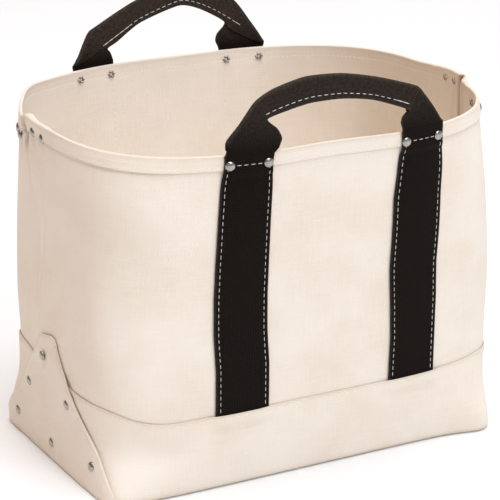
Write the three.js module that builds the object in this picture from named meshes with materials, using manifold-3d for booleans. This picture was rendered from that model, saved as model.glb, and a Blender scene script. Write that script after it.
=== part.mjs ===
import * as THREE from 'three';
import { mergeVertices } from 'three/addons/utils/BufferGeometryUtils.js';
import Module from 'manifold-3d';

// Driving dimensions, in millimetres
const CANVAS = 1.6; // one layer of heavy cotton duck
const WEBBING = 2.0; // thickness of the handle webbing
const WEBBING_WIDTH = 50.8;
const GAP = 0.3; // clear space between pieces that touch
const STRAP_GAP = 0.5; // clear space between a strap and the curved wall under it
const BACK_RISE = 6; // how much higher the back rim stands
const HEM_HEIGHT = 17; // canvas turned over to the outside at the rim
const HEM_STEP = 1.2; // height in which the hem's lower edge stands out from the wall
const BOOT_HEIGHT = 72; // second layer over the base and the foot of the walls
const BASE_ROLL = 8; // radius with which a wall turns into the base
const EAR_HEIGHT = 111; // folded corner ear, up the middle of each end
const EAR_FOOT = 108; // half width of an ear at the base
const EAR_TIP = 22; // half width of its blunt tip
const EAR_LAYERS = 3.0; // two layers of canvas folded together
const EAR_ROOT = 1.0; // depth to which an ear's foot is sunk into the boot
const EAR_GAP = 0.8; // by which the rest of it stands off the boot
const PLEAT_DEPTH = 13; // tuck at the rim in the middle of each end
const PLEAT_WIDTH = 8;
const PLEAT_FOOT = 200; // height at which the tuck dies out
const RIM_PEAK = 7; // by which the right rim stands up behind its tuck
const RIM_SAG = { behind: 11, before: 3, middle: 4, reach: 56 }; // of the left rim, and its place along it
const FOLD_GAP = 0.4; // between the two layers of a folded grip
const FOLD_LIP = 1.5; // width of the turned edge that joins them
const FOLD_BULGE = 0.4; // by which that edge stands out

// Rivets: half-round head, straight shank, clinched disc inside
const RIVET = {
  head: 4.3,
  crown: 2.0,
  shoulder: 3.1,
  shoulderHeight: 1.5,
  shank: 1.6,
  disc: 3.3,
  clinch: 1.0,
  sides: 8,
};
const RIVET_BELOW_RIM = 9; // in the straps

// Plan of the bag at rising heights: half sizes, the middle of its length, how square the corners are,
// how far the end seam stands off the middle, the lean of the plan, and how far the ends ride up
const SECTIONS = [
  { z: 0, halfLength: 203.5, halfDepth: 118, middle: 0, square: 20, seam: 0, skew: 0, ride: 0 },
  { z: 35, halfLength: 204, halfDepth: 119.5, middle: 0, square: 9, seam: 4, skew: 0, ride: 4 },
  { z: 80, halfLength: 206, halfDepth: 122, middle: 0, square: 6, seam: 8, skew: 0.004, ride: 11 },
  { z: 140, halfLength: 208.5, halfDepth: 128, middle: -0.5, square: 5, seam: 12, skew: 0.014, ride: 10 },
  { z: 235, halfLength: 205, halfDepth: 140, middle: -1.5, square: 3.8, seam: 20, skew: 0.035, ride: 4 },
  { z: 321, halfLength: 201.5, halfDepth: 150.5, middle: -3.5, square: 2.8, seam: 48, skew: 0.05, ride: 0 },
];
const RIM = SECTIONS.at(-1);
const RIM_HEIGHT = RIM.z; // front rim above the floor
const RIM_DEPTH = 2 * RIM.halfDepth; // front to back across the mouth

// Broad dents and swells of the walls: where, how wide and high, and how far in or out
const DENTS = [
  { face: 'front', along: 0, z: RIM_HEIGHT, width: 55, height: 80, depth: -6 },
  { face: 'front', along: 10, z: 170, width: 110, height: 70, depth: -3 },
  { face: 'back', along: 0, z: 170, width: 110, height: 70, depth: -3 },
  { face: 'left', along: -45, z: 215, width: 35, height: 60, depth: -4 },
  { face: 'right', along: 45, z: 215, width: 35, height: 60, depth: -4 },
  { face: 'left', along: 15, z: 105, width: 60, height: 45, depth: 3 },
  { face: 'right', along: -15, z: 105, width: 60, height: 45, depth: 3 },
];

// Heights of the rows of the wall mesh above the rolled edge
const WALL_ROWS = [40, BOOT_HEIGHT, 105, 145, 190, 235, 275];
const ROLL_ANGLES = [0, 45, 90];

// Run of each handle above the rim, from the left strap to the right one: the folded edge and the open edge
// of the webbing, along from the handle's middle and up from the rim, and the share of its width folded over
const FRONT_RUN = [
  { foldX: -111, foldUp: 3, openX: -61, openUp: 3, folded: 0.06 },
  { foldX: -109, foldUp: 13, openX: -59, openUp: 11, folded: 0.3 },
  { foldX: -98, foldUp: 27, openX: -64, openUp: 20, folded: 0.65 },
  { foldX: -84, foldUp: 45, openX: -73, openUp: 29, folded: 0.97 },
  { foldX: -67, foldUp: 54, openX: -55, openUp: 34, folded: 0.97 },
  { foldX: -37, foldUp: 62, openX: -32, openUp: 38, folded: 0.97 },
  { foldX: -2, foldUp: 62, openX: -2, openUp: 38.5, folded: 0.97 },
  { foldX: 34, foldUp: 54, openX: 29, openUp: 33, folded: 0.97 },
  { foldX: 71, foldUp: 40, openX: 63, openUp: 20, folded: 0.97 },
  { foldX: 80, foldUp: 31, openX: 57, openUp: 14, folded: 0.75 },
  { foldX: 97, foldUp: 9, openX: 53, openUp: 9, folded: 0.25 },
  { foldX: 104, foldUp: 3, openX: 54, openUp: 3, folded: 0.06 },
];
const BACK_RUN = [
  { foldX: -102, foldUp: 3, openX: -54, openUp: 3, folded: 0.06 },
  { foldX: -93, foldUp: 13, openX: -58, openUp: 11, folded: 0.4 },
  { foldX: -82, foldUp: 36, openX: -61, openUp: 15, folded: 0.9 },
  { foldX: -74, foldUp: 42, openX: -52, openUp: 21, folded: 0.97 },
  { foldX: -36, foldUp: 60, openX: -29, openUp: 37, folded: 0.97 },
  { foldX: 10, foldUp: 73, openX: 12, openUp: 49, folded: 0.97 },
  { foldX: 40, foldUp: 65, openX: 35, openUp: 43, folded: 0.97 },
  { foldX: 67, foldUp: 46, openX: 61, openUp: 27, folded: 0.97 },
  { foldX: 84, foldUp: 23, openX: 53, openUp: 16, folded: 0.6 },
  { foldX: 98, foldUp: 8, openX: 52, openUp: 9, folded: 0.25 },
  { foldX: 103, foldUp: 3, openX: 53, openUp: 3, folded: 0.06 },
];

// Each handle: the wall that carries it, its middle, and where each strap's middle meets the boot and the rim
const HANDLES = [
  {
    name: 'front_handle_strap',
    face: 'front',
    middle: 8,
    straps: [{ side: -1, foot: -78.5, rim: -78.5 }, { side: 1, foot: 97, rim: 87.5 }],
    run: FRONT_RUN,
  },
  {
    name: 'back_handle_strap',
    face: 'back',
    middle: -14,
    straps: [{ side: -1, foot: -94, rim: -92 }, { side: 1, foot: 70, rim: 64 }],
    run: BACK_RUN,
  },
];
const HANDLE_RIVET_HALF = 17; // a strap's rivets either side of its middle line
const HANDLE_STRAIGHT = 40; // height in which a handle draws straight across from strap to strap
const RUN_STEPS = 2; // mesh steps between two rows of a handle's run
const RUN_TENSION = 0.35; // how far the run curves between its rows
const STRAP_LIFT = { from: 8, to: 2 }; // below the hem, where a strap lifts over its edge

// Ear rivets, from the ear's middle line, and rim rivets, from the end seam and down from the rim
const EAR_RIVETS = [
  { along: -3, z: 94 },
  { along: -42, z: 63 },
  { along: 42, z: 57 },
  { along: -82, z: 23 },
  { along: 3, z: 17 },
  { along: 77, z: 21 },
];
const RIM_RIVETS = {
  left: [
    { along: -41, below: 13 },
    { along: -20, below: 12 },
    { along: 22, below: 18 },
    { along: 36, below: 17 },
  ],
  right: [
    { along: -36, below: 9.5 },
    { along: -20, below: 9.5 },
    { along: 20, below: 13 },
    { along: 35, below: 13 },
  ],
};

const CANVAS_LOOK = { color: 0xefe6d8, roughness: 0.95, metalness: 0 };
const WEBBING_LOOK = { color: 0x241d1a, roughness: 0.9, metalness: 0 };
const RIVET_LOOK = { color: 0xb9b9b5, roughness: 0.35, metalness: 1 };

// Layers, as distances outwards from the outer face of the body canvas
const BOOT_IN = GAP;
const BOOT_OUT = GAP + CANVAS;
const EAR_IN = BOOT_OUT + EAR_GAP;
const EAR_OUT = EAR_IN + EAR_LAYERS;
const STRAP_IN_HEM = CANVAS + STRAP_GAP;

const wasm = await Module();
wasm.setup();

const signedPower = (value, power) => Math.sign(value) * Math.abs(value) ** power;

// One column of the sections at a height, on a smooth curve through the rows
function read(column, z) {
  const last = SECTIONS.length - 1;
  let row = 0;
  while (row < last - 1 && z > SECTIONS[row + 1].z) row += 1;
  const slope = (at) => {
    const before = SECTIONS[Math.max(at - 1, 0)];
    const after = SECTIONS[Math.min(at + 1, last)];
    return (after[column] - before[column]) / (after.z - before.z);
  };
  const from = SECTIONS[row];
  const to = SECTIONS[row + 1];
  const span = to.z - from.z;
  const t = THREE.MathUtils.clamp((z - from.z) / span, 0, 1);
  const rise = t * t * (3 - 2 * t);
  const lead = t * (1 - t) * (1 - t) * span * slope(row);
  const trail = t * t * (t - 1) * span * slope(row + 1);
  return from[column] + (to[column] - from[column]) * rise + lead + trail;
}

// Tuck at the end seam, deepest at the rim
function pleat(x, y, z) {
  const seam = -Math.sign(x) * read('seam', z);
  const depth = PLEAT_DEPTH * THREE.MathUtils.smoothstep(z, PLEAT_FOOT, RIM_HEIGHT);
  return -depth * Math.exp(-(((y - seam) / PLEAT_WIDTH) ** 2)) * (Math.abs(x) > RIM_DEPTH / 2);
}

// Sag of the left rim about its tuck, deeper behind the tuck than before it
function rimSag(x, y, z) {
  const { lerp, smoothstep } = THREE.MathUtils;
  const place = y - read('seam', z);
  const depth = lerp(RIM_SAG.before, RIM_SAG.behind, smoothstep(place, -8, 22));
  const along = Math.exp(-(((place - RIM_SAG.middle) / RIM_SAG.reach) ** 4));
  return depth * along * smoothstep(-x, 150, 190) * smoothstep(z, RIM_HEIGHT - 85, RIM_HEIGHT - 20);
}

// Rise of the right rim behind its tuck, which ends in a step at the tuck
function rimPeak(x, y, z) {
  const { smoothstep } = THREE.MathUtils;
  const place = -y - read('seam', z);
  const along = smoothstep(place, -95, -25) * (1 - smoothstep(place, -10, 0));
  return RIM_PEAK * (x > RIM_DEPTH / 2) * along * smoothstep(z, RIM_HEIGHT - 60, RIM_HEIGHT);
}

const FACES = {
  front: { holds: (x, y) => y < 0, along: (x) => x },
  back: { holds: (x, y) => y > 0, along: (x) => x },
  left: { holds: (x) => x < 0, along: (x, y) => y },
  right: { holds: (x) => x > 0, along: (x, y) => y },
};

// How far the wall stands in or out of its plain shape at a point
function relief(x, y, z) {
  return DENTS.reduce((sum, dent) => {
    const face = FACES[dent.face];
    if (!face.holds(x, y)) return sum;
    const side = (face.along(x, y) - dent.along) / dent.width;
    const rise = (z - dent.z) / dent.height;
    return sum + dent.depth * Math.exp(-side * side - rise * rise);
  }, pleat(x, y, z));
}

// A point on the plain outline, moved outwards and set into the leaning plan
const RIDE_POWER = 4;
function onWall(x, y, z, out) {
  const a = read('halfLength', z);
  const b = read('halfDepth', z);
  const n = read('square', z);
  const slope = (value, half) => signedPower(value / half, n - 1) / half;
  const normal = new THREE.Vector2(slope(x, a), slope(y, b)).normalize();
  const reach = out + relief(x, y, z);
  const wallX = x + normal.x * reach;
  const wallY = y + normal.y * reach;
  const lift = BACK_RISE * (z / RIM_HEIGHT) * (wallY / RIM_DEPTH + 0.5);
  const ride = read('ride', z) * Math.abs(x / a) ** RIDE_POWER + rimPeak(x, y, z) - rimSag(x, y, z);
  return new THREE.Vector3(wallX + read('middle', z), wallY - read('skew', z) * wallX, z + lift + ride);
}

// A point given by its place along one face
function onFace(face, along, z, out) {
  const a = read('halfLength', z);
  const b = read('halfDepth', z);
  const n = read('square', z);
  const other = (value, half) => (1 - Math.abs(value / half) ** n) ** (1 / n);
  const x = along - read('middle', z);
  if (face === 'front') return onWall(x, -b * other(x, a), z, out);
  if (face === 'back') return onWall(x, b * other(x, a), z, out);
  if (face === 'left') return onWall(-a * other(along, b), along, z, out);
  return onWall(a * other(along, b), along, z, out);
}

// Stations round the bag, closer together at the corners and at the end seams
const LONG_STEPS = 12;
const SHORT_STEPS = 10;
const CORNER_CROWD = 0.6;
const SEAM_CROWD = 0.62;
function stations() {
  const list = [];
  const sides = [
    { dir: [1, 0], edge: [0, -1], end: false },
    { dir: [0, 1], edge: [1, 0], end: true },
    { dir: [-1, 0], edge: [0, 1], end: false },
    { dir: [0, -1], edge: [-1, 0], end: true },
  ];
  for (const side of sides) {
    const steps = side.end ? SHORT_STEPS : LONG_STEPS;
    for (let i = 0; i < steps; i += 1) {
      const s = -1 + (2 * i) / steps;
      const spread = (CORNER_CROWD * Math.sin(Math.PI * s)) / Math.PI;
      const gather = (-SEAM_CROWD * Math.sin(2 * Math.PI * s)) / (2 * Math.PI);
      list.push({ ...side, t: s + (side.end ? gather : spread) });
    }
  }
  return list;
}
const STATIONS = stations();

// One closed ring round the bag: a rectangle drawn in at its corners
function ring(z, out) {
  const a = read('halfLength', z);
  const b = read('halfDepth', z);
  const n = read('square', z);
  const seam = read('seam', z);
  return STATIONS.map(({ dir, edge, end, t }) => {
    const run = end ? t * b - seam * (1 - t * t) : t * a;
    const x = dir[0] * run + edge[0] * a;
    const y = dir[1] * run + edge[1] * b;
    const draw = (Math.abs(x / a) ** n + Math.abs(y / b) ** n) ** (-1 / n);
    return onWall(x * draw, y * draw, z, out);
  });
}

// Rings of one layer of cloth from the flat base round the rolled edge
function rollRings(out) {
  const radius = BASE_ROLL - (BOOT_OUT - out);
  return ROLL_ANGLES.map((angle) => {
    const turn = THREE.MathUtils.degToRad(angle);
    return ring(BASE_ROLL - radius * Math.cos(turn), out - radius * (1 - Math.sin(turn)));
  });
}

function geometryOf(points, triangles) {
  const geometry = new THREE.BufferGeometry();
  geometry.setFromPoints(points);
  geometry.setIndex(triangles.flat());
  return geometry;
}

// A tub: rings from the middle of the outside to the middle of the inside,
// with inner and outer faces split along the same diagonals
function tub(rings) {
  const size = rings[0].length;
  const points = rings.flat();
  const triangles = [];
  for (let r = 0; r + 1 < rings.length; r += 1) {
    for (let i = 0; i < size; i += 1) {
      const next = (i + 1) % size;
      const low = r * size;
      const high = low + size;
      if (rings[r + 1][0].z >= rings[r][0].z) {
        triangles.push([low + i, low + next, high + next], [low + i, high + next, high + i]);
      } else {
        triangles.push([low + i, low + next, high + i], [low + next, high + next, high + i]);
      }
    }
  }
  const middle = (of) => new THREE.Vector3(0, 0, of[0].z);
  const under = points.push(middle(rings[0])) - 1;
  const floor = points.push(middle(rings.at(-1))) - 1;
  const top = (rings.length - 1) * size;
  for (let i = 0; i < size; i += 1) {
    const next = (i + 1) % size;
    triangles.push([under, next, i], [floor, top + i, top + next]);
  }
  return geometryOf(points, triangles);
}

// A slab: two grids of points face to face, closed all round
function slab(outer, inner) {
  const rows = outer.length;
  const columns = outer[0].length;
  const last = columns - 1;
  const points = [...outer.flat(), ...inner.flat()];
  const back = rows * columns;
  const triangles = [];
  const quad = (a, b, c, d) => triangles.push([a, b, c], [a, c, d]);
  const at = (r, c) => r * columns + c;
  for (let r = 0; r + 1 < rows; r += 1) {
    for (let c = 0; c + 1 < columns; c += 1) {
      quad(at(r, c), at(r, c + 1), at(r + 1, c + 1), at(r + 1, c));
      quad(back + at(r, c), back + at(r + 1, c), back + at(r + 1, c + 1), back + at(r, c + 1));
    }
    quad(at(r, 0), at(r + 1, 0), back + at(r + 1, 0), back + at(r, 0));
    quad(at(r + 1, last), at(r, last), back + at(r, last), back + at(r + 1, last));
  }
  for (let c = 0; c + 1 < columns; c += 1) {
    quad(at(0, c + 1), at(0, c), back + at(0, c), back + at(0, c + 1));
    quad(at(rows - 1, c), at(rows - 1, c + 1), back + at(rows - 1, c + 1), back + at(rows - 1, c));
  }
  return geometryOf(points, triangles);
}

// Closed geometry to a solid that can be joined and cut, turned right side out
const SAME_POINT = 1e-4;
function solid(geometry) {
  const bare = geometry.clone();
  bare.deleteAttribute('normal');
  bare.deleteAttribute('uv');
  const merged = mergeVertices(bare, SAME_POINT);
  const vertProperties = new Float32Array(merged.attributes.position.array);
  const triVerts = new Uint32Array(merged.index.array);
  const body = new wasm.Manifold(new wasm.Mesh({ numProp: 3, vertProperties, triVerts }));
  if (body.volume() > 0) return body;
  return new wasm.Manifold(new wasm.Mesh({ numProp: 3, vertProperties, triVerts: triVerts.reverse() }));
}

function geometryFrom(body) {
  const { vertProperties, triVerts } = body.getMesh();
  const geometry = new THREE.BufferGeometry();
  geometry.setAttribute('position', new THREE.BufferAttribute(new Float32Array(vertProperties), 3));
  geometry.setIndex(new THREE.BufferAttribute(new Uint32Array(triVerts), 1));
  return geometry;
}

// Body canvas: one hollow tub with its hem turned to the outside
function bodyCanvas() {
  const hemFoot = RIM_HEIGHT - HEM_HEIGHT;
  const outside = WALL_ROWS.map((z) => ring(z, 0));
  const hem = [ring(hemFoot, 0), ring(hemFoot + HEM_STEP, CANVAS), ring(RIM_HEIGHT, CANVAS)];
  const inside = [RIM_HEIGHT, ...WALL_ROWS.toReversed()].map((z) => ring(z, -CANVAS));
  return tub([...rollRings(0), ...outside, ...hem, ...inside, ...rollRings(-CANVAS).reverse()]);
}

// Boot: the second layer, a low tray that holds the foot of the body
function bootTray() {
  const rows = WALL_ROWS.filter((z) => z <= BOOT_HEIGHT);
  const outside = rows.map((z) => ring(z, BOOT_OUT));
  const inside = rows.toReversed().map((z) => ring(z, BOOT_IN));
  return tub([...rollRings(BOOT_OUT), ...outside, ...inside, ...rollRings(BOOT_IN).reverse()]);
}

// Places on an end are counted from its seam, towards the back on the left and the front on the right
const onEnd = (end, z, along) => (end === 'left' ? 1 : -1) * (read('seam', z) + along);

// Ear: the boot's folded corner, turned up against the end from its root in the rolled edge
const EAR_ROWS = [
  { z: 6, inner: BOOT_OUT - EAR_ROOT, outer: BOOT_OUT + GAP, half: 104 },
  { z: 9, inner: BOOT_OUT - EAR_ROOT, outer: EAR_OUT - EAR_ROOT, half: EAR_FOOT },
  { z: 20, inner: EAR_IN, outer: EAR_OUT, half: 104 },
  { z: 36, inner: EAR_IN, outer: EAR_OUT, half: 92 },
  { z: 54, inner: EAR_IN, outer: EAR_OUT, half: 74 },
  { z: BOOT_HEIGHT, inner: EAR_IN, outer: EAR_OUT, half: 56 },
  { z: 100, inner: EAR_IN, outer: EAR_OUT, half: 35 },
  { z: 107, inner: EAR_IN, outer: EAR_OUT, half: 30 },
  { z: EAR_HEIGHT, inner: EAR_IN, outer: EAR_OUT, half: EAR_TIP },
];
const EAR_COLUMNS = 8;
function ear(end) {
  const grid = (depth) =>
    EAR_ROWS.map((row) => {
      const share = (i) => Math.sin(Math.PI * (i / EAR_COLUMNS - 0.5));
      const across = (i) => onEnd(end, row.z, row.half * share(i));
      return Array.from({ length: EAR_COLUMNS + 1 }, (_, i) => onFace(end, across(i), row.z, row[depth]));
    });
  return slab(grid('outer'), grid('inner'));
}

// A row of points across the webbing, from its folded edge to its open edge
const WEB_SHARES = [0, 1 / 3, 2 / 3, 1];

// Strap on the wall: rows of heights with the distance at which the webbing lies
const STRAP_ROWS = [
  { z: BOOT_HEIGHT + GAP, out: STRAP_GAP },
  ...WALL_ROWS.filter((z) => z > BOOT_HEIGHT).map((z) => ({ z, out: STRAP_GAP })),
  { z: RIM_HEIGHT - HEM_HEIGHT - STRAP_LIFT.from, out: STRAP_GAP },
  { z: RIM_HEIGHT - HEM_HEIGHT - STRAP_LIFT.to, out: STRAP_IN_HEM },
  { z: RIM_HEIGHT, out: STRAP_IN_HEM },
];

// Middle of a strap at a height, on its straight way from the boot to the rim
const strapMiddle = ({ foot, rim }, z) => THREE.MathUtils.mapLinear(z, BOOT_HEIGHT, RIM_HEIGHT, foot, rim);

// A point of the handle above the rim, on a sheet that draws straight between the two straps
function handlePoint(handle, along, up, out) {
  const foot = (x) => onFace(handle.face, x, RIM_HEIGHT, out);
  const [left, right] = handle.straps.map(({ rim }) => foot(rim));
  const point = foot(handle.middle + along);
  const share = (point.x - left.x) / (right.x - left.x);
  const straight = THREE.MathUtils.lerp(left.y, right.y, share);
  const y = THREE.MathUtils.lerp(point.y, straight, THREE.MathUtils.smoothstep(up, 0, HANDLE_STRAIGHT));
  return new THREE.Vector3(point.x, y, point.z + up);
}

// The rows of a handle's run, with steps put in between on a smooth curve
function fineRun(run) {
  const columns = Object.keys(run[0]);
  const curve = (column) => {
    const knots = run.map((row, i) => new THREE.Vector3(i, row[column], 0));
    return new THREE.CatmullRomCurve3(knots, false, 'catmullrom', RUN_TENSION);
  };
  const count = (run.length - 1) * RUN_STEPS;
  const curves = columns.map((column) => [column, curve(column)]);
  return Array.from({ length: count + 1 }, (_, i) =>
    Object.fromEntries(curves.map(([column, line]) => [column, line.getPoint(i / count).y])),
  );
}

// One handle: a single webbing up one strap, along the grip and down the other,
// with its outer half folded behind the grip
function handleWebbing(handle) {
  const run = fineRun(handle.run);
  const strap = (from, layer) =>
    STRAP_ROWS.map(({ z, out }) =>
      WEB_SHARES.map((share) => {
        const along = strapMiddle(from, z) + from.side * WEBBING_WIDTH * (0.5 - share);
        return onFace(handle.face, along, z, out + layer);
      }),
    );
  const widthOf = (row) => Math.hypot(row.openX - row.foldX, row.openUp - row.foldUp);
  const across = (row, share, out) => {
    const along = THREE.MathUtils.lerp(row.foldX, row.openX, share);
    const up = THREE.MathUtils.lerp(row.foldUp, row.openUp, share);
    return handlePoint(handle, along, up, out);
  };
  const sheet = (layer) => [
    ...strap(handle.straps[0], layer),
    ...run.map((row) => WEB_SHARES.map((share) => across(row, share, STRAP_IN_HEM + layer))),
    ...strap(handle.straps[1], layer).reverse(),
  ];
  const behind = (out) =>
    run.map((row) => {
      const start = FOLD_BULGE / widthOf(row);
      return [start, (start + row.folded) / 2, row.folded].map((share) => across(row, share, out));
    });
  const lip = (out) =>
    run.slice(1, -1).map((row) => {
      const edges = [-FOLD_BULGE, FOLD_LIP];
      return edges.map((width) => across(row, width / widthOf(row), out));
    });
  const foldOut = STRAP_IN_HEM - FOLD_GAP;
  const bite = WEBBING / 4;
  return solid(slab(sheet(WEBBING), sheet(0)))
    .add(solid(slab(behind(foldOut), behind(foldOut - WEBBING))))
    .add(solid(slab(lip(STRAP_IN_HEM + bite), lip(foldOut - bite))));
}

// Rivet seat: a place on the wall and its outward direction
function seat(name, face, along, z) {
  const step = RIVET.head / 2;
  const point = onFace(face, along, z, 0);
  const sideways = onFace(face, along + step, z, 0).sub(onFace(face, along - step, z, 0));
  const upwards = onFace(face, along, z + step, 0).sub(onFace(face, along, z - step, 0));
  const normal = sideways.cross(upwards).normalize();
  if (normal.dot(new THREE.Vector3(point.x, point.y, 0)) < 0) normal.negate();
  return { name, point, normal };
}

function rivetSeats() {
  const list = [];
  for (const { name, face, straps } of HANDLES) {
    const piece = name.replace('handle_strap', 'rivet');
    const z = RIM_HEIGHT - RIVET_BELOW_RIM;
    const middles = straps.map((strap) => strapMiddle(strap, z));
    const places = middles.flatMap((middle) => [middle - HANDLE_RIVET_HALF, middle + HANDLE_RIVET_HALF]);
    places.forEach((along, i) => list.push(seat(`${piece}_${i + 1}`, face, along, z)));
  }
  for (const end of ['left', 'right']) {
    EAR_RIVETS.forEach(({ along, z }, i) => {
      list.push(seat(`${end}_ear_rivet_${i + 1}`, end, onEnd(end, z, along), z));
    });
    RIM_RIVETS[end].forEach(({ along, below }, i) => {
      const z = RIM_HEIGHT - below;
      list.push(seat(`${end}_rim_rivet_${i + 1}`, end, onEnd(end, z, along), z));
    });
  }
  return list;
}

// Set a shape that stands along Y into a seat
function placed(object, { point, normal }) {
  object.position.copy(point);
  object.quaternion.setFromUnitVectors(new THREE.Vector3(0, 1, 0), normal);
  return object;
}

// How far the cloth stands along a rivet's axis under a disc, seen from outside or from inside
const SEAT_VIEW = 20;
function bearing(cloth, { point, normal }, radius, way) {
  const caster = new THREE.Raycaster();
  const away = normal.clone().multiplyScalar(way);
  const side = new THREE.Vector3(0, 0, 1).cross(normal).normalize();
  const up = normal.clone().cross(side);
  const reach = (share, angle) => {
    const start = point.clone().addScaledVector(away, SEAT_VIEW);
    start.addScaledVector(side, share * radius * Math.cos(angle));
    start.addScaledVector(up, share * radius * Math.sin(angle));
    caster.set(start, away.clone().negate());
    return SEAT_VIEW - caster.intersectObjects(cloth)[0].distance;
  };
  const angles = Array.from({ length: RIVET.sides }, (_, i) => (2 * Math.PI * i) / RIVET.sides);
  return Math.max(reach(0, 0), ...angles.map((angle) => reach(1, angle))) + GAP;
}

function rivetGeometry(cloth, rivetSeat) {
  const outer = bearing(cloth, rivetSeat, RIVET.head, 1);
  const inner = -bearing(cloth, rivetSeat, RIVET.disc, -1);
  const profile = [
    [0, inner - RIVET.clinch],
    [RIVET.disc, inner - RIVET.clinch],
    [RIVET.disc, inner],
    [RIVET.shank, inner],
    [RIVET.shank, outer],
    [RIVET.head, outer],
    [RIVET.shoulder, outer + RIVET.shoulderHeight],
    [0, outer + RIVET.crown],
  ].map(([radius, height]) => new THREE.Vector2(radius, height));
  return geometryFrom(solid(new THREE.LatheGeometry(profile, RIVET.sides)));
}

// Square hole punched for a rivet's shank, long enough for every layer there
const HOLE_SIDES = 4;
function hole(rivetSeat) {
  const reach = 2 * SEAT_VIEW;
  const corner = (RIVET.shank + GAP) * Math.SQRT2;
  const drill = new THREE.CylinderGeometry(corner, corner, reach, HOLE_SIDES);
  const mesh = placed(new THREE.Mesh(drill), rivetSeat);
  mesh.updateMatrix();
  return solid(drill.applyMatrix4(mesh.matrix));
}

const SEATS = rivetSeats();
const HOLES = SEATS.map(hole);
const drilled = (body) => HOLES.reduce((rest, cut) => rest.subtract(cut), body);

const bag = new THREE.Group();
function addPiece(name, geometry, look) {
  const mesh = new THREE.Mesh(geometry, new THREE.MeshStandardMaterial(look));
  mesh.name = name;
  bag.add(mesh);
  return mesh;
}

const boot = solid(bootTray()).add(solid(ear('left'))).add(solid(ear('right')));
const SOFT_PIECES = [
  { name: 'body_canvas', body: solid(bodyCanvas()), look: CANVAS_LOOK },
  { name: 'bottom_boot', body: boot, look: CANVAS_LOOK },
  ...HANDLES.map((handle) => ({ name: handle.name, body: handleWebbing(handle), look: WEBBING_LOOK })),
];
const cloth = SOFT_PIECES.map(({ body }) => new THREE.Mesh(geometryFrom(body)));
for (const { name, body, look } of SOFT_PIECES) {
  addPiece(name, geometryFrom(drilled(body)), look);
}
for (const rivetSeat of SEATS) {
  placed(addPiece(rivetSeat.name, rivetGeometry(cloth, rivetSeat), RIVET_LOOK), rivetSeat);
}

export default bag;
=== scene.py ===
"""An open tool bag of heavy canvas with black webbing handles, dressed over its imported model.

Lengths are in millimetres until a mesh is made, and the meshes are in metres. X runs along the bag,
-Y out of its front, and Z up from the floor.
"""
import math

import bpy
import numpy as np
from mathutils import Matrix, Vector


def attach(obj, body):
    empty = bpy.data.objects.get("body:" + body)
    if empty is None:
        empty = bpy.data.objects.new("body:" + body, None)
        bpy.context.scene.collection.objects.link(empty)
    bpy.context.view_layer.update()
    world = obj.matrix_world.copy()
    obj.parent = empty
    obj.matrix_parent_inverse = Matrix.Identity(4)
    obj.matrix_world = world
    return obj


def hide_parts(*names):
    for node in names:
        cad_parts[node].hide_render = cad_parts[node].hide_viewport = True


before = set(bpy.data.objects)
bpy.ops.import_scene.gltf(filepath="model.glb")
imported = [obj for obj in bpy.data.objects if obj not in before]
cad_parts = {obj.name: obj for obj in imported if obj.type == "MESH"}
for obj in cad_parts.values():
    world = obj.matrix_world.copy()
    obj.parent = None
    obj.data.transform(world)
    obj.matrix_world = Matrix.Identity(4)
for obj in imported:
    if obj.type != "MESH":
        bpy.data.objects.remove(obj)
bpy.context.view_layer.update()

MM = 0.001

# Cloth and layers, as in the model
CANVAS = 1.6
WEBBING = 2.0
WEBBING_WIDTH = 50.8
GAP = 0.3
STRAP_GAP = 0.5
EAR_GAP = 0.8
EAR_LAYERS = 3.0
FOLD_GAP = 0.4
BOOT_IN = GAP
BOOT_OUT = GAP + CANVAS
EAR_IN = BOOT_OUT + EAR_GAP
STRAP_ON_HEM = CANVAS + STRAP_GAP

# Heights and distances
HEM_HEIGHT = 14.4
BOOT_HEIGHT = 72.0
BASE_ROLL = 5.0
BACK_RISE = 6.0
RIDE_POWER = 4

# Tuck in each end, where a pair is for the left and the right one: its place off the seam, its depth,
# its width at the mouth and in the hem, the share of its depth that it has in the hem, and its painted
# shade: a darker colour for the shadow in the left one's mouth and along the right one's line
TUCK_OFF_SEAM = {"height": (265, 310), "left": (10, 5), "right": (4, -9)}
TUCK_DEPTH = (13.0, -6.0)
TUCK_MOUTH = (7.0, 2.6)
TUCK_PINCH = (1.6, 2.4)
TUCK_SLIT = (0.3, 0.8)
TUCK_SHADE = (4.0, 4.0)
# Height of the mouth and how far it spreads, the distances below the rim between which the tuck grows,
# takes its painted shade and, on the right, closes again, and the share by which it closes
TUCK = {"mouth_height": 305.0, "spread": 11.0, "grows": (96, 30), "shaded": (91, 30),
        "closes": (12, 2), "closed": 0.8}
# Flap of the folded cloth inside, from its far edge to the tuck, with a gap and a lip past that
TUCK_FLAP = {"edge": 1.6, "far": -60.0, "gap": 1.1, "gap_off": 1.0, "gap_width": 1.2,
             "lip": 2.4, "lip_off": 4.2, "lip_width": 2.0, "grows": (91, 20)}
FLAP_THICK = (2.0, 1.0)
# Rim by the tucks, in places along the end from its seam: the dip of its outer edge on the left, the sag
# there, deeper behind the tuck than before it, and the flap that stands up behind the right tuck. Each
# grows between two distances below the rim, and the sag between two distances along the bag as well
RIM_DIP = {"depth": 0.5, "place": -32.0, "width": 34.0, "grows": (45, 0)}
RIM_SAG = {"behind": 11.0, "before": 3.0, "step": (-8, 22), "middle": 4.0, "reach": 56.0,
           "grows": (85, 20), "corner": (150, 190)}
RIM_PEAK = {"height": 7.0, "rises": (-95, -25), "falls": (-10, 0), "grows": (60, 0)}
# Sewn line up the middle of each end: its place along the end at rising heights, its groove and ridge,
# and how soon these fade at the foot and at the top
END_SEAM = {"height": (100, 118, 164, 196, 245, 286, 312), "along": (21, 20, 14.5, 10, 11.5, 18.5, 24)}
END_GROOVE = {"depth": 0.9, "width": 1.7, "ridge": 0.5, "ridge_off": 5.0, "ridge_width": 3.0,
              "fades": (15, 12)}
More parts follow.
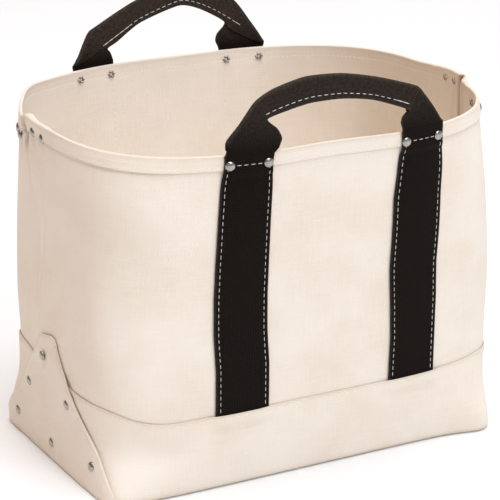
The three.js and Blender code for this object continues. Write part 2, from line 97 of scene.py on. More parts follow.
# Corners drawn out of the plain shape: where each is, how far it reaches in plan and in height, and how
# far it moves along and across the bag
CORNERS = (
    (203, -118, 0, 42, 52, -13, -10),
    (203, -118, 50, 36, 20, -2.5, 0),
    (-203, -119, 45, 52, 36, 9, 13),
    (-203, 112, 30, 34, 22, -3.5, 2),
)
# Slow ripples of the cloth: their height, the share of the third wave, and the lengths over which each
# of three waves turns along the bag, across it and up it
RIPPLE = {"height": 0.35, "third": 0.6}
RIPPLE_WAVES = ((31, math.inf, 47), (math.inf, 27, -39), (19, -23, 83))
# Rise of the boot's top edge at each end, at its front and how much more behind, the places between
# which that grows along the end and round the corner, and the edge's sag at the front left
BOOT_RISE = {"left": (4.0, 12.0), "right": (-4.0, 12.0), "behind": (-60, 80), "corner": (178, 203)}
BOOT_SAG = {"depth": 3.5, "place": -158.0, "width": 28.0}

# Plan of the bag at rising heights: half sizes, the middle of its length, how square its corners are,
# how far the end seam stands off the middle, the lean of the plan, and how far the ends ride up
SECTIONS = {
    "height": (0, 35, 80, 140, 235, 321),
    "half_length": (203.5, 204, 206, 208.5, 205, 201.5),
    "half_depth": (118, 119.5, 122, 128, 140, 150.5),
    "middle": (0, 0, 0, -0.5, -1.5, -3.5),
    "square": (20, 9, 6, 5, 3.8, 2.8),
    "seam": (0, 4, 8, 12, 20, 48),
    "skew": (0, 0, 0.004, 0.014, 0.035, 0.05),
    "ride": (0, 4, 11, 10, 4, 0),
}
RIM_HEIGHT = float(SECTIONS["height"][-1])
RIM_DEPTH = 2.0 * SECTIONS["half_depth"][-1]

# Broad dents and swells of the walls: the face, where along it and how high, how wide and tall, and how
# far in or out
DENTS = (
    ("front", 0, RIM_HEIGHT, 55, 80, -6),
    ("front", -160, 40, 30, 13, -3.5),
    ("front", -168, 272, 36, 52, 5),
    ("back", -166, RIM_HEIGHT, 22, 70, 4),
    ("front", 10, 170, 110, 70, -3),
    ("back", 0, 170, 110, 70, -3),
    ("left", -45, 215, 35, 60, -4),
    ("right", 45, 215, 35, 60, -4),
    ("left", 15, 105, 60, 45, 3),
    ("right", -15, 105, 60, 45, 3),
)

# Handles above the rim, from the left strap to the right one: the folded edge and the open edge of the
# webbing, along from the handle's middle and up from the rim, and the share of its width folded over
RUN_COLUMNS = ("fold_along", "fold_up", "open_along", "open_up", "folded")
FRONT_RUN = (
    (-111, 3, -61, 3, 0.0),
    (-109, 13, -59, 11, 0.3),
    (-98, 27, -64, 20, 0.65),
    (-84, 45, -73, 29, 0.97),
    (-67, 54, -55, 34, 0.97),
    (-37, 61, -32, 38, 0.97),
    (-2, 59.8, -2, 38, 0.97),
    (34, 52.2, 29, 33, 0.97),
    (71, 40, 63, 20, 0.97),
    (80, 31, 57, 14, 0.75),
    (97, 9, 55, 9, 0.25),
    (103, 3, 56, 3, 0.0),
)
BACK_RUN = (
    (-102, 3, -54, 3, 0.0),
    (-93, 13, -58, 11, 0.4),
    (-82, 32.5, -61, 15, 0.9),
    (-74, 38, -52, 21, 0.97),
    (-36, 57.5, -29, 37, 0.97),
    (10, 73, 12, 49, 0.97),
    (40, 65, 35, 43, 0.97),
    (70, 48, 61, 27, 0.97),
    (88, 24, 53, 16, 0.6),
    (99, 8, 51, 9, 0.25),
    (103, 3, 53, 3, 0.0),
)
FOLDED = [RUN_COLUMNS.index("folded")]
# Straps: side of the handle, and where the strap's middle meets the boot and the rim
HANDLES = {
    "front": {"middle": 8, "straps": ((-1, -79, -81.5), (1, 100, 87.5)), "run": FRONT_RUN},
    "back": {"middle": -14, "straps": ((-1, -94, -92), (1, 70, 64)), "run": BACK_RUN},
}
# Each strap is sewn on a little bowed, and is drawn wider or narrower on its way: both at heights up
# from the rim
BOW_UP = (-242, -206, -171, -135, -100, -64, -41, -17, 0)
BOW = {-1: (1.8, 1.4, -1.6, -2.9, -3.0, -2.3, -1.5, -0.7, 0.5),
       1: (-0.3, 0.4, -0.2, -2.4, -2.1, -2.4, -0.7, 0, 0)}
DRAWN = {-1: (1.06, 1.062, 1.055, 1.035, 1.01, 0.976, 0.955, 0.965, 0.95),
         1: (0.96, 0.942, 0.962, 0.97, 0.98, 0.988, 0.965, 0.955, 0.96)}
# Webbing drawn narrower where the rivets pinch it, and the sharp fold at one shoulder of the front grip
PINCH = {"share": 0.1, "reach": 17.0}
SHOULDER = {"front": 8.05, "height": 2.2, "before": 0.45, "after": 0.07}
# Height over the rim at which a handle is straight, how full the curve through its rows is, how much
# lighter its grip is drawn, partly rubbed and partly painted sheen, more on the back grip that faces the
# light, and the distances below the hem between which a strap lifts on to it
HANDLE_STRAIGHT = 40.0
RUN_TENSION = 0.35
GRIP_WEAR_AND_SHEEN = {"front": 0.7, "back": 1.4}
STRAP_LIFT = (8.0, 2.0)
# Width of the folded flap at which its fold is full, and the webbing's least half thickness at its edge
FOLD_GROWS = 6.0
SELVEDGE_LEAST = 0.15
# How much wider than a strap the boot stands out over its end, and how far down that fades
OVER_STRAP = {"wider": 3.0, "fades": 10.0}

# Ears: half widths up the end on either side of the seam, as counted on the left
EAR_FRONT = {"height": (1, 9, 17, 35, 47, 62.5, 78, 90.5, 105, 112, 116, 118),
             "half": (114, 112, 107, 92, 78, 60, 47, 36, 31, 30, 27, 20)}
EAR_BACK = {"height": (1, 9, 20, 36, 54, 72, 85, 100, 113, 118),
            "half": (112, 110, 105, 92, 74, 54, 38, 20, 7, 3)}
# Share of the second of these, less at the front of the right end, where the boot's corner draws in
EAR_SIDES = {"left": 1.0, "right": 0.84}
# Fall of the blunt tip and where it starts, the curl of the edge and how far in it reaches, how close
# the ear lies to the wall, between which heights over the boot's edge it closes, and its least thickness
EAR_TIP_FALL = 0.25
EAR_TIP_FROM = -20.0
EAR_CURL = (0.3, 8.0)
EAR_CLOSE = 0.6
EAR_CLOSES = (-2, 14)
EAR_LEAST = 0.3

# Rivets: radii of the head, shank and clinch, heights of the crown and the burr, and the lip under the
# head. The clinch goes from the shank round to its middle by shares of its radius and of the burr, and
# is cut into petals by another share
RIVET = {"head": 4.5, "crown": 2.1, "shank": 1.6, "clinch": 4.2, "burr": 1.7}
RIVET_LIP = {"in": 0.2, "under": 0.25}
RIVET_SIDES = 30
CLINCH = {"reach": (0.85, 1.0, 0.92, 0.66, 0.44, 0.3), "drop": (0.0, 0.35, 0.75, 1.0, 0.6, -0.2),
          "cut": (0.45, 0.5, 0.5, 0.35, 0.1, 0.0), "petals": 6}
# Strap rivets: how far from the strap's middle and how far below the rim. Rim rivets of each end: how
# far along from the seam and how far below the rim. Ear rivets: how far along from the seam and how high
STRAP_RIVET_HALF = 17.0
STRAP_RIVET_DROP = 9.0
RIM_RIVETS = {
    "left": ((-41, 13), (-20, 12), (22, 18), (36, 17)),
    "right": ((-36, 9.5), (-20, 9.5), (20, 13), (35, 13)),
}
EAR_RIVETS = ((-3, 94), (-42, 63), (42, 57), (-82, 23), (3, 17), (77, 21))

# Thread: distance from stitch to stitch, their length and thickness
STITCH_PITCH = 6.3
STITCH_LENGTH = 4.6
THREAD = 0.62
INSIDE_THREAD = 0.5
EDGE_STITCH = {"pitch": 4.2, "length": 3.0, "thread": 0.65}
# How far a stitch stands up from the cloth and dives at its ends, as shares of the thread, how blunt its
# ends are, and how deep the thread of the hem and the boot is sunk
STITCH = {"lift": 0.3, "dive": 0.55, "blunt": 1.02}
THREAD_SUNK = 0.25
# How far a stitch draws the cloth in, and how far the cloth stands up beside it and how near
STITCH_DIP = 0.3
STITCH_SWELL = 0.15
STITCH_BESIDE = 2.5
# How far each line of stitches is from its edge, and where the lines on a strap start over the boot
HEM_STITCH = 3.4
BOOT_STITCH = 3.4
STRAP_STITCH = 4.0
GRIP_STITCH = 6.0
STRAP_STITCH_FOOT = 2.0
STRAP_STITCH_ROWS = 200
# Grip line: rows of the run between which it follows the open edge, and how far it runs on straight at
# each end. Then how much of each end is sewn over again, and how much thicker that shows
GRIP_LINE = {"front": (3.2, 8.0, 4.0, 0.0), "back": (3.7, 6.8, 36.0, 22.0)}
BACKSTITCH = {"front": (0.0, 18.0), "back": (36.0, 9.0)}
BACKSTITCH_SWELL = 1.4
# Webbing tucked in under the boot
STRAP_TAIL = 8.0

# Weave and finish. Duck has about 1.3 mm to two threads, and the webbing's ribs stand about 1.4 mm
# apart: both are drawn coarser, because finer would not show in the render
WAVE_PERIOD = 2 * math.pi / 20
WEAVE = 2.2
RIB = 2.4
# Sizes of the marks on each cloth, in metres
SLUB = {"long": 0.030, "thick": 0.0011}
CLOUD = 0.060
SEED_CELL = 0.016
FLECK = 0.003
PLY = 0.0012
TARNISH = 0.0025
FIBRE = 0.004
DUCK = {"cream": "#eee2d3", "shade": "#e6d7c4", "pale": "#f6ede1", "seed": "#7d664b", "soil_and_shade": "#b49e83"}
BLACK = {"deep": "#100a06", "fleck": "#241b16", "rubbed_and_sheen": "#4c423b"}
WHITE_THREAD = ("#b9b4ad", "#e9e6e0")
NATURAL_THREAD = ("#e6dac9", "#fbf4e9")
STEEL = ("#847d76", "#c0bbb4")
PAPER = ("#e9e8e6", "#ecebe9")
# Rings of a tub's floor, as shares of its edge, and steps round the bag along a side and an end
FLOOR_SHARES = (0.02, 0.3, 0.6, 0.85, 0.97)
BODY_STEPS = (112, 150)
BOOT_STEPS = (112, 132)
THREAD_STEPS = (300, 300)

# Camera: how it stands to the bag, worked out from the rim, base and straps in the picture, and how far
# it sees, in metres
PICTURE_PIXELS = 500
CAMERA_AZIMUTH = -28.18
CAMERA_ELEVATION = 19.96
CAMERA_DISTANCE = 2252.3
CAMERA_FOCUS_PIXELS = 2401.1
CAMERA_TARGET = (-4.0, 0.0, 174.4)
SENSOR = 36.0
CAMERA_REACH = 20.0

# Studio, in metres: each light's azimuth, elevation and distance, its size, watts and colour
FLOOR_REACH = 7.0
LIGHTS = (
    ("key_softbox", 8, 42, 4.0, 1.8, 60, "#f2f6ff"),
    ("top_softbox", 0, 88, 5.0, 4.2, 298, "#fafcff"),
)
# Surround: the way that it is brightest, how far round it goes from dim to bright, and its colour and
# strength there and on the far side
SURROUND_WAY = (0.4, -0.65, 0.5)
SURROUND_STEP = (-0.5, 0.6)
SURROUND = {"bright": ("#eef5ff", 0.42), "dim": ("#f2ad70", 0.40)}


# The wall

def smooth_step(value, low, high):
    """Rise from 0 to 1 between low and high, level at both ends."""
    share = np.clip((value - low) / (high - low), 0, 1)
    return share * share * (3 - 2 * share)


def towards_rim(z, far, near):
    """Rise from 0 to 1 between two distances below the rim."""
    return smooth_step(z, RIM_HEIGHT - far, RIM_HEIGHT - near)


def bell(distance, width, power=2):
    """A bell of height 1: the exponential of minus a power of the distance over the width."""
    return np.exp(-((distance / width) ** power))


def cubic(start, stop, slopes, t):
    """A cubic from one value to the next that has a given slope at each, as t goes from 0 to 1."""
    rise = start + (stop - start) * t * t * (3 - 2 * t)
    return rise + t * (1 - t) ** 2 * slopes[0] + t * t * (t - 1) * slopes[1]


def read(column, height):
    """One column of the sections at a height: a cubic through
    the rows whose slopes join the rows either side."""
    rows = np.asarray(SECTIONS["height"], float)
    values = np.asarray(SECTIONS[column], float)
    last = len(rows) - 1
    before = np.maximum(np.arange(last + 1) - 1, 0)
    after = np.minimum(np.arange(last + 1) + 1, last)
    slope = (values[after] - values[before]) / (rows[after] - rows[before])
    row = np.clip(np.searchsorted(rows, height, side="left") - 1, 0, last - 1)
    span = rows[row + 1] - rows[row]
    t = np.clip((height - rows[row]) / span, 0, 1)
    return cubic(values[row], values[row + 1], (span * slope[row], span * slope[row + 1]), t)


def plan(z):
    """Half length, half depth and squareness of the plan at a height."""
    return (read(column, z) for column in ("half_length", "half_depth", "square"))


def on_end(x):
    """Whether a point is on one of the two ends."""
    return np.abs(x) > RIM_DEPTH / 2


def by_end(x, pair):
    """The value of a pair that holds for the end a point is on."""
    return np.where(x < 0, *pair)


def end_place(x, y):
    """Place along an end, counted towards the back on the left and the front on the right."""
    return -np.sign(x) * y


def seam_distance(x, y, z):
    """Distance of a point from the seam of its end, counted as places along it are."""
    return end_place(x, y) - read("seam", z)


def tuck_distance(x, y, z):
    """Distance of a point from the tuck of its end."""
    off = [np.interp(z, TUCK_OFF_SEAM["height"], TUCK_OFF_SEAM[end]) for end in ("left", "right")]
    return seam_distance(x, y, z) - by_end(x, off)


def tuck_relief(x, y, z):
    """Tuck in each end: a flat bell in the distance from its line, narrow in the hem and wide and deep
    at its mouth. The left one goes in, and the right one out, so that it opens inside the bag."""
    pairs = (TUCK_DEPTH, TUCK_MOUTH, TUCK_PINCH, TUCK_SLIT)
    depth, mouth, pinch, slit = (by_end(x, pair) for pair in pairs)
    opening = bell(z - TUCK["mouth_height"], TUCK["spread"])
    width = pinch + (mouth - pinch) * opening
    depth = depth * (slit + (1 - slit) * opening) * towards_rim(z, *TUCK["grows"])
    depth = depth * (1 - TUCK["closed"] * (x > 0) * towards_rim(z, *TUCK["closes"]))
    return -depth * on_end(x) * bell(tuck_distance(x, y, z), width, 4)


def tuck_flap(x, y, z):
    """Thickness of the folded cloth inside a tuck: level between
    its far edge and the tuck, then a gap and a lip."""
    distance = tuck_distance(x, y, z)
    edge, far = TUCK_FLAP["edge"], TUCK_FLAP["far"]
    level_part = smooth_step(seam_distance(x, y, z), far - edge, far)
    level_part = level_part * (1 - smooth_step(distance, -edge, 0))
    gap, lip = (TUCK_FLAP[part] * bell(distance - TUCK_FLAP[f"{part}_off"], TUCK_FLAP[f"{part}_width"])
                for part in ("gap", "lip"))
    thick = by_end(x, FLAP_THICK) * level_part - gap + lip
    return on_end(x) * thick * towards_rim(z, *TUCK_FLAP["grows"])


def tuck_shade(x, y, z):
    """Painted shade in a tuck, a darker colour where its shadow falls: a bell about
    the mouth of the left one, and one along the right one's line."""
    away = tuck_distance(x, y, z)
    mouth = bell(away, TUCK_MOUTH[0], 4) * bell(z - TUCK["mouth_height"], TUCK["spread"])
    line = bell(away, TUCK_PINCH[1]) * towards_rim(z, *TUCK["shaded"])
    return on_end(x) * by_end(x, (TUCK_SHADE[0] * mouth, TUCK_SHADE[1] * line))


def rim_dip(x, y, z):
    """How far the outer edge of the rim dips in front of the left tuck: a bell along the rim."""
    along = bell(seam_distance(x, y, z) - RIM_DIP["place"], RIM_DIP["width"])
    return RIM_DIP["depth"] * (x < -RIM_DEPTH / 2) * along * towards_rim(z, *RIM_DIP["grows"])


def rim_sag(x, y, z):
    """How far the left rim sinks about its tuck: a flat bell
    along the rim, deeper by a step behind the tuck."""
    place = seam_distance(x, y, z)
    before, behind = RIM_SAG["before"], RIM_SAG["behind"]
    depth = before + (behind - before) * smooth_step(place, *RIM_SAG["step"])
    along = bell(place - RIM_SAG["middle"], RIM_SAG["reach"], 4)
    return depth * along * smooth_step(-x, *RIM_SAG["corner"]) * towards_rim(z, *RIM_SAG["grows"])


def rim_peak(x, y, z):
    """How far the flap stands up behind the right tuck: a slow rise that ends in a sharp step."""
    place = seam_distance(x, y, z)
    along = smooth_step(place, *RIM_PEAK["rises"]) * (1 - smooth_step(place, *RIM_PEAK["falls"]))
    return RIM_PEAK["height"] * (x > RIM_DEPTH / 2) * along * towards_rim(z, *RIM_PEAK["grows"])


def seam_relief(x, y, z):
    """Sewn line up each end: a groove with a low ridge beside
    it, both bells in the distance from the line."""
    away = end_place(x, y) - np.interp(z, END_SEAM["height"], END_SEAM["along"])
    groove = -END_GROOVE["depth"] * bell(away, END_GROOVE["width"])
    ridge = END_GROOVE["ridge"] * bell(away - END_GROOVE["ridge_off"], END_GROOVE["ridge_width"])
    low, high = END_SEAM["height"][0], END_SEAM["height"][-1]
    foot, top = END_GROOVE["fades"]
    upward = smooth_step(z, low, low + foot) * (1 - smooth_step(z, high - top, high))
    return on_end(x) * (groove + ridge) * upward


def relief(x, y, z):
    """How far the wall stands out of its plain shape: dents
    are bells in two directions, with slow ripples added."""
    places = {"front": x, "back": x, "left": y, "right": y}
    holds = {"front": y < 0, "back": y > 0, "left": x < 0, "right": x > 0}
    total = tuck_relief(x, y, z) + seam_relief(x, y, z)
    for face, along, height, wide, tall, depth in DENTS:
        total = total + holds[face] * depth * bell(places[face] - along, wide) * bell(z - height, tall)
    free = smooth_step(z, BASE_ROLL, BOOT_HEIGHT)
    first, second, third = (np.sin(x / length + y / depth + z / height)
                            for length, depth, height in RIPPLE_WAVES)
    return total + RIPPLE["height"] * free * (first * second + RIPPLE["third"] * third)


def wall(x, y, z, out):
    """A point of the wall: the plan's outline, moved out along its normal, leant, and lifted at
    back and ends. Each listed corner moves by a bell about it, in plan and in height."""
    a, b, n = plan(z)
    slope_x = np.sign(x) * np.abs(x / a) ** (n - 1) / a
    slope_y = np.sign(y) * np.abs(y / b) ** (n - 1) / b
    steep = np.hypot(slope_x, slope_y)
    reach = out + relief(x, y, z)
    wall_x = x + slope_x / steep * reach
    wall_y = y + slope_y / steep * reach
    for corner_x, corner_y, corner_z, wide, tall, move_x, move_y in CORNERS:
        near = bell(np.hypot(x - corner_x, y - corner_y), wide) * bell(z - corner_z, tall)
        wall_x = wall_x + move_x * near
        wall_y = wall_y + move_y * near
    lift = BACK_RISE * (z / RIM_HEIGHT) * (wall_y / RIM_DEPTH + 0.5)
    lift = lift + rim_peak(x, y, z) - rim_sag(x, y, z) + read("ride", z) * np.abs(x / a) ** RIDE_POWER
    return np.stack([wall_x + read("middle", z), wall_y - read("skew", z) * wall_x, z + lift], -1)


def on_face(face, along, z, out):
    """A point of one face, given along it and up it: the
    other coordinate follows from the plan's outline."""
    along, z, out = np.broadcast_arrays(*(np.asarray(value, float) for value in (along, z, out)))
    a, b, n = plan(z)
    if face in ("front", "back"):
        x = along - read("middle", z)
        y = b * np.maximum(1 - np.abs(x / a) ** n, 0) ** (1 / n)
        return wall(x, -y if face == "front" else y, z, out)
    x = a * np.maximum(1 - np.abs(along / b) ** n, 0) ** (1 / n)
    return wall(-x if face == "left" else x, along, z, out)


def from_seam(end, z, along):
    """Place along an end counted from its seam, towards
    the back on the left and the front on the right."""
    return (1 if end == "left" else -1) * (read("seam", z) + along)


def way_out(face, along, z):
    """Direction out of a face at a place: square to small steps along it and up it."""
    step = 1.0
    sideways = on_face(face, along + step, z, 0.0) - on_face(face, along - step, z, 0.0)
    upward = on_face(face, along, z + step, 0.0) - on_face(face, along, z - step, 0.0)
    normal = np.cross(sideways, upward)
    normal /= np.linalg.norm(normal)
    point = on_face(face, along, z, 0.0)
    return normal if normal[:2] @ point[:2] > 0 else -normal


def stations(long_steps, end_steps, corner_crowd=0.5, seam_crowd=0.62):
    """Places round a rectangle, side after side, crowded at the corners of the long sides and at the end
    seams. Each has the way along its side, where that side is, whether it is an end, and its share."""
    sides = ((0, 1, 1, 0, 1), (-1, 0, 0, 1, 0), (0, -1, -1, 0, 1), (1, 0, 0, -1, 0))
    rows = []
    for side in sides:
        is_end = side[-1]
        share = np.linspace(-1, 1, end_steps if is_end else long_steps, endpoint=False)
        spread = corner_crowd * np.sin(np.pi * share) / np.pi
        gather = -seam_crowd * np.sin(2 * np.pi * share) / (2 * np.pi)
        share = share + (gather if is_end else spread)
        rows.append(np.column_stack([np.tile(side, (len(share), 1)), share]))
    return np.concatenate(rows).T


def ring_places(places, heights):
    """Plan of the bag at each station: a rectangle at each height drawn in to the plan's outline."""
    dir_x, dir_y, edge_x, edge_y, is_end, share = places
    z = np.asarray(heights, float) + 0 * share
    a, b, n = plan(z)
    run = np.where(is_end > 0, share * b - read("seam", z) * (1 - share**2), share * a)
    x = dir_x * run + edge_x * a
    y = dir_y * run + edge_y * b
    draw = (np.abs(x / a) ** n + np.abs(y / b) ** n) ** (-1 / n)
    return x * draw, y * draw, z


def rings(places, heights, outs):
    """Rows of points round the bag at columns of heights and distances outwards."""
    x, y, z = ring_places(places, heights)
    return wall(x, y, z, np.asarray(outs, float) + 0 * z)


# Meshes from grids

def corners(grid):
    """The four corner values of every cell of a grid, in the order of its face."""
    return np.stack([grid[:-1, :-1], grid[:-1, 1:], grid[1:, 1:], grid[1:, :-1]], 2)


def closed(grid):
    """A grid with its first column repeated at the end."""
    return np.concatenate([grid, grid[:, :1]], 1)


def lengths(points, axis):
    """Distance travelled along an axis of a grid of points, from 0."""
    steps = np.linalg.norm(np.diff(points, axis=axis), axis=-1)
    start = np.zeros_like(np.take(steps, [0], axis=axis))
    return np.concatenate([start, np.cumsum(steps, axis=axis)], axis)


def cell_faces(rows, columns):
    """Faces of a grid whose columns close on themselves, four corners each."""
    index = np.arange(rows * columns).reshape(rows, columns)
    return corners(closed(index)).reshape(-1, 4)


def fan_faces(rows, columns):
    """Faces that close the first and last row of such a grid to two more points that follow its own."""
    ring = np.arange(columns)
    after = (ring + 1) % columns
    last = (rows - 1) * columns
    first_pole = np.full(columns, rows * columns)
    first_fan = np.column_stack([first_pole, after, ring])
    last_fan = np.column_stack([first_pole + 1, last + ring, last + after])
    return np.concatenate([first_fan, last_fan])


def cap_faces(rows, columns):
    """Faces that close the ends of a strip: the first half of a
    row is one face of it, the second half the other."""
    near = np.arange(columns // 2 - 1)
    far = columns - 1 - near
    first_cap = np.column_stack([near + 1, near, far, far - 1])
    last_cap = (rows - 1) * columns + np.column_stack([near, near + 1, far - 1, far])
    return np.concatenate([first_cap, last_cap])


def grid_shell(grid, spots=None, wear_and_painted_light=0.0, strip=False):
    """Points, faces, cloth positions, and marks of wear and painted light, of a closed
    grid. A strip's ends are capped, others run to poles."""
    rows, columns = grid.shape[:2]
    if spots is None:
        spots = corners(np.stack([lengths(closed(grid), 1), closed(lengths(grid, 0))], -1))
    points = grid.reshape(-1, 3)
    painted_and_worn = np.broadcast_to(wear_and_painted_light, (rows, columns)).ravel()
    ends = cap_faces(rows, columns) if strip else fan_faces(rows, columns)
    if not strip:
        points = np.concatenate([points, grid[[0, -1]].mean(1)])
        painted_and_worn = np.append(painted_and_worn, [painted_and_worn[0], painted_and_worn[-1]])
    faces = [cell_faces(rows, columns), ends]
    places = [spots.reshape(-1, 4, 2), points[ends][..., :2]]
    return points, faces, places, painted_and_worn


def add_object(name, data):
    """An object in the scene that shows a mesh, light or camera."""
    made = bpy.data.objects.new(name, data)
    bpy.context.scene.collection.objects.link(made)
    return made


def make_piece(name, shells, material, nodes=()):
    """One object from shells, put into its mesh as whole arrays, riding on the bag."""
    starts = np.cumsum([0] + [len(shell[0]) for shell in shells[:-1]])
    points = np.concatenate([shell[0] for shell in shells]) * MM
    faces = [rows + start for shell, start in zip(shells, starts) for rows in shell[1]]
    loops = np.concatenate([rows.ravel() for rows in faces])
    sizes = np.concatenate([np.full(len(rows), rows.shape[1]) for rows in faces])
    spots = np.concatenate([rows.reshape(-1, 2) for shell in shells for rows in shell[2]]) * MM
    painted_and_worn = np.concatenate([shell[3] for shell in shells])
    mesh = bpy.data.meshes.new(name)
    mesh.vertices.add(len(points))
    mesh.vertices.foreach_set("co", points.astype(np.float32).ravel())
    mesh.loops.add(len(loops))
    mesh.loops.foreach_set("vertex_index", loops.astype(np.int32))
    mesh.polygons.add(len(sizes))
    mesh.polygons.foreach_set("loop_start", (np.cumsum(sizes) - sizes).astype(np.int32))
    mesh.polygons.foreach_set("use_smooth", np.ones(len(sizes), bool))
    mesh.update(calc_edges=True)
    mesh.uv_layers.new(name="cloth").data.foreach_set("uv", spots.astype(np.float32).ravel())
    mesh.attributes.new("wear_and_painted_light", "FLOAT", "POINT").data.foreach_set("value", painted_and_worn.astype(np.float32))
    mesh.validate()
    mesh.materials.append(material)
    piece = add_object(name, mesh)
    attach(piece, "root")
    if nodes:
        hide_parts(*nodes)
    return piece


# Canvas

def level(heights, out):
    """Rows of a profile that all stand the same distance out."""
    heights = np.asarray(heights, float)
    return np.column_stack([heights, np.full(len(heights), out)])


def arc(height, out, radius, start, stop, steps):
    """Rows of a profile on an arc about a point, angles in
    degrees from straight out, turning upwards."""
    turn = np.radians(np.linspace(start, stop, steps))
    return np.column_stack([height + radius * np.sin(turn), out + radius * np.cos(turn)])


def base_turn(out, steps):
    """Rows of the turn from floor to wall: a quarter circle
    BASE_ROLL up, tighter for the inner layers."""
    radius = BASE_ROLL - (BOOT_OUT - out)
    return arc(BASE_ROLL, out - radius, radius, -90, 0, steps)


def tub(places, profile, rise=0.0, lift=0.0, wear_and_painted_light=0.0):
    """A closed tub: rings of the bag at each row of the
    profile, with the first and last drawn in to floors."""
    sides = rings(places, profile[:, :1] + rise, profile[:, 1:] + lift)
    shares = np.array(FLOOR_SHARES)[:, None, None]
    middle = np.array([0.0, 0.0, 1.0])
    low, high = (row * (1 - shares) * middle + row * shares for row in (sides[:1], sides[-1:]))
    grid = np.concatenate([low, sides, high[::-1]])
    around = lengths(closed(sides), 1).mean(0)
    around *= round(around[-1] / WEAVE) * WEAVE / around[-1]
    along = lengths(grid, 0).mean(1)
    woven = corners(np.stack(np.broadcast_arrays(around[None], along[:, None]), -1))
    flat = corners(closed(grid[..., :2]))
    cells = np.arange(len(grid) - 1)
    on_floor = (cells < len(FLOOR_SHARES)) | (cells >= len(grid) - 1 - len(FLOOR_SHARES))
    spots = np.where(on_floor[:, None, None, None], flat, woven)
    painted_and_worn = np.zeros(grid.shape[:2])
    painted_and_worn[len(FLOOR_SHARES):-len(FLOOR_SHARES)] = wear_and_painted_light
    return grid_shell(grid, spots, painted_and_worn)


def body_canvas(material):
    """The bag's own cloth: up the outside, over the turned hem and rim, and down the inside."""
    hem = RIM_HEIGHT - HEM_HEIGHT
    stitch = hem + HEM_STITCH
    proud = CANVAS + STITCH_SWELL
    half = CANVAS / 2
    outside = np.concatenate([
        base_turn(0.0, 5),
        level(np.linspace(BASE_ROLL + 6, BOOT_HEIGHT - 8, 8), 0.0),
        level(np.linspace(BOOT_HEIGHT - 2, hem - 34, 44), 0.0),
        level(np.linspace(hem - 32, hem - 2, 16), 0.0),
        level([hem - 0.4], -STITCH_DIP),
        arc(hem + half, half, half, -180, 0, 6),
        [[hem + 2.2, proud], [stitch, CANVAS - STITCH_DIP], [stitch + STITCH_BESIDE, proud]],
        [[RIM_HEIGHT - 6, proud], [RIM_HEIGHT - 3, CANVAS + 0.1]],
        arc(RIM_HEIGHT - CANVAS, 0.0, CANVAS, 0, 180, 9),
    ])
    inside = np.concatenate([
        level([RIM_HEIGHT - 3, RIM_HEIGHT - 6, stitch + STITCH_BESIDE], -CANVAS),
        [[stitch, STITCH_SWELL - CANVAS], [hem + 2.2, -CANVAS]],
        level(np.linspace(hem - 1, hem - 32, 12), -CANVAS),
        level(np.linspace(hem - 36, BASE_ROLL + 4, 48), -CANVAS),
        base_turn(-CANVAS, 6)[::-1],
    ])
    profile = np.concatenate([outside, inside])
    height, out = profile[:, :1], profile[:, 1:]
    # Soil darkens the cloth along the rim; the thin darker line along the hem's lower edge is painted
    # shade
    wear_and_painted_light = bell(height - RIM_HEIGHT, 3) + 0.6 * bell(height - hem, 1.2) * (out > 0.2)
    places = stations(*BODY_STEPS)
    spots = ring_places(places, height)
    outer_share = smooth_step(-np.arange(len(profile)), -len(outside), 9 - len(outside))[:, None]
    lift = (outer_share - 1) * tuck_flap(*spots)
    # Painted shade of the tucks: on the outside of the left one and on the inside of the right one
    darkened = tuck_shade(*spots) * by_end(spots[0], (outer_share, 1 - outer_share))
    shell = tub(places, profile, -outer_share * rim_dip(*spots), lift, wear_and_painted_light + darkened)
    return make_piece("body_duck", [shell], material, ["body_canvas"])


def boot_rise(x, y):
    """How much higher the boot's top edge runs at the ends, more
    so towards the back, and its sag at the front left."""
    behind = smooth_step(y, *BOOT_RISE["behind"])
    sag = BOOT_SAG["depth"] * (y < 0) * bell(x - BOOT_SAG["place"], BOOT_SAG["width"])
    total = -sag
    for way, end in ((-1, "left"), (1, "right")):
        front, back = BOOT_RISE[end]
        total = total + (front + back * behind) * smooth_step(way * x, *BOOT_RISE["corner"])
    return total


def over_straps(x, y, depth):
    """How far the boot's top edge stands out over the strap
    ends sewn in behind it: a bell flat on top, for each."""
    total = np.zeros(np.broadcast_shapes(x.shape, depth.shape))
    for face, handle in HANDLES.items():
        way = -1 if face == "front" else 1
        for side, foot, rim in handle["straps"]:
            total = total + (y * way > 0) * bell(x - foot, WEBBING_WIDTH / 2 + OVER_STRAP["wider"], 8)
    fade = smooth_step(-depth, -STRAP_TAIL - OVER_STRAP["fades"], -STRAP_TAIL)
    return (STRAP_GAP + WEBBING) * total * fade


def bottom_boot(material):
    """Second layer over the foot of the bag: a tray with a
    turned top edge, which the strap ends go in under."""
    half = CANVAS / 2
    stitch = BOOT_HEIGHT - BOOT_STITCH
    profile = np.concatenate([
        base_turn(BOOT_OUT, 12),
        level(np.linspace(BASE_ROLL + 3, stitch - STITCH_BESIDE, 26), BOOT_OUT),
        [[stitch, BOOT_OUT - STITCH_DIP], [BOOT_HEIGHT - 1.8, BOOT_OUT + 0.1]],
        arc(BOOT_HEIGHT - half, BOOT_IN + half, half, 0, 180, 7),
        level(np.linspace(BOOT_HEIGHT - 2, BASE_ROLL + 3, 14), BOOT_IN),
        base_turn(BOOT_IN, 6)[::-1],
    ])
    places = stations(*BOOT_STEPS)
    x, y, z = ring_places(places, [[BOOT_HEIGHT]])
    height = profile[:, :1]
    rise = boot_rise(x, y) * (height / BOOT_HEIGHT) ** 2
    lift = over_straps(x, y, BOOT_HEIGHT - height)
    # Painted shade: darker in a thin line along the top edge, and towards the floor at the foot
    wear_and_painted_light = bell(height - BOOT_HEIGHT, 1.5) + 0.8 * bell(height, 5)
    sides = tub(places, profile, rise, lift, wear_and_painted_light)
    return make_piece("boot_duck", [sides], material, ["bottom_boot"])


def end_points(end, place):
    """Plan of a place along an end, near enough to read the boot's rise there."""
    x = (-1 if end == "left" else 1) * SECTIONS["half_length"][2]
    return np.full_like(place, x), place


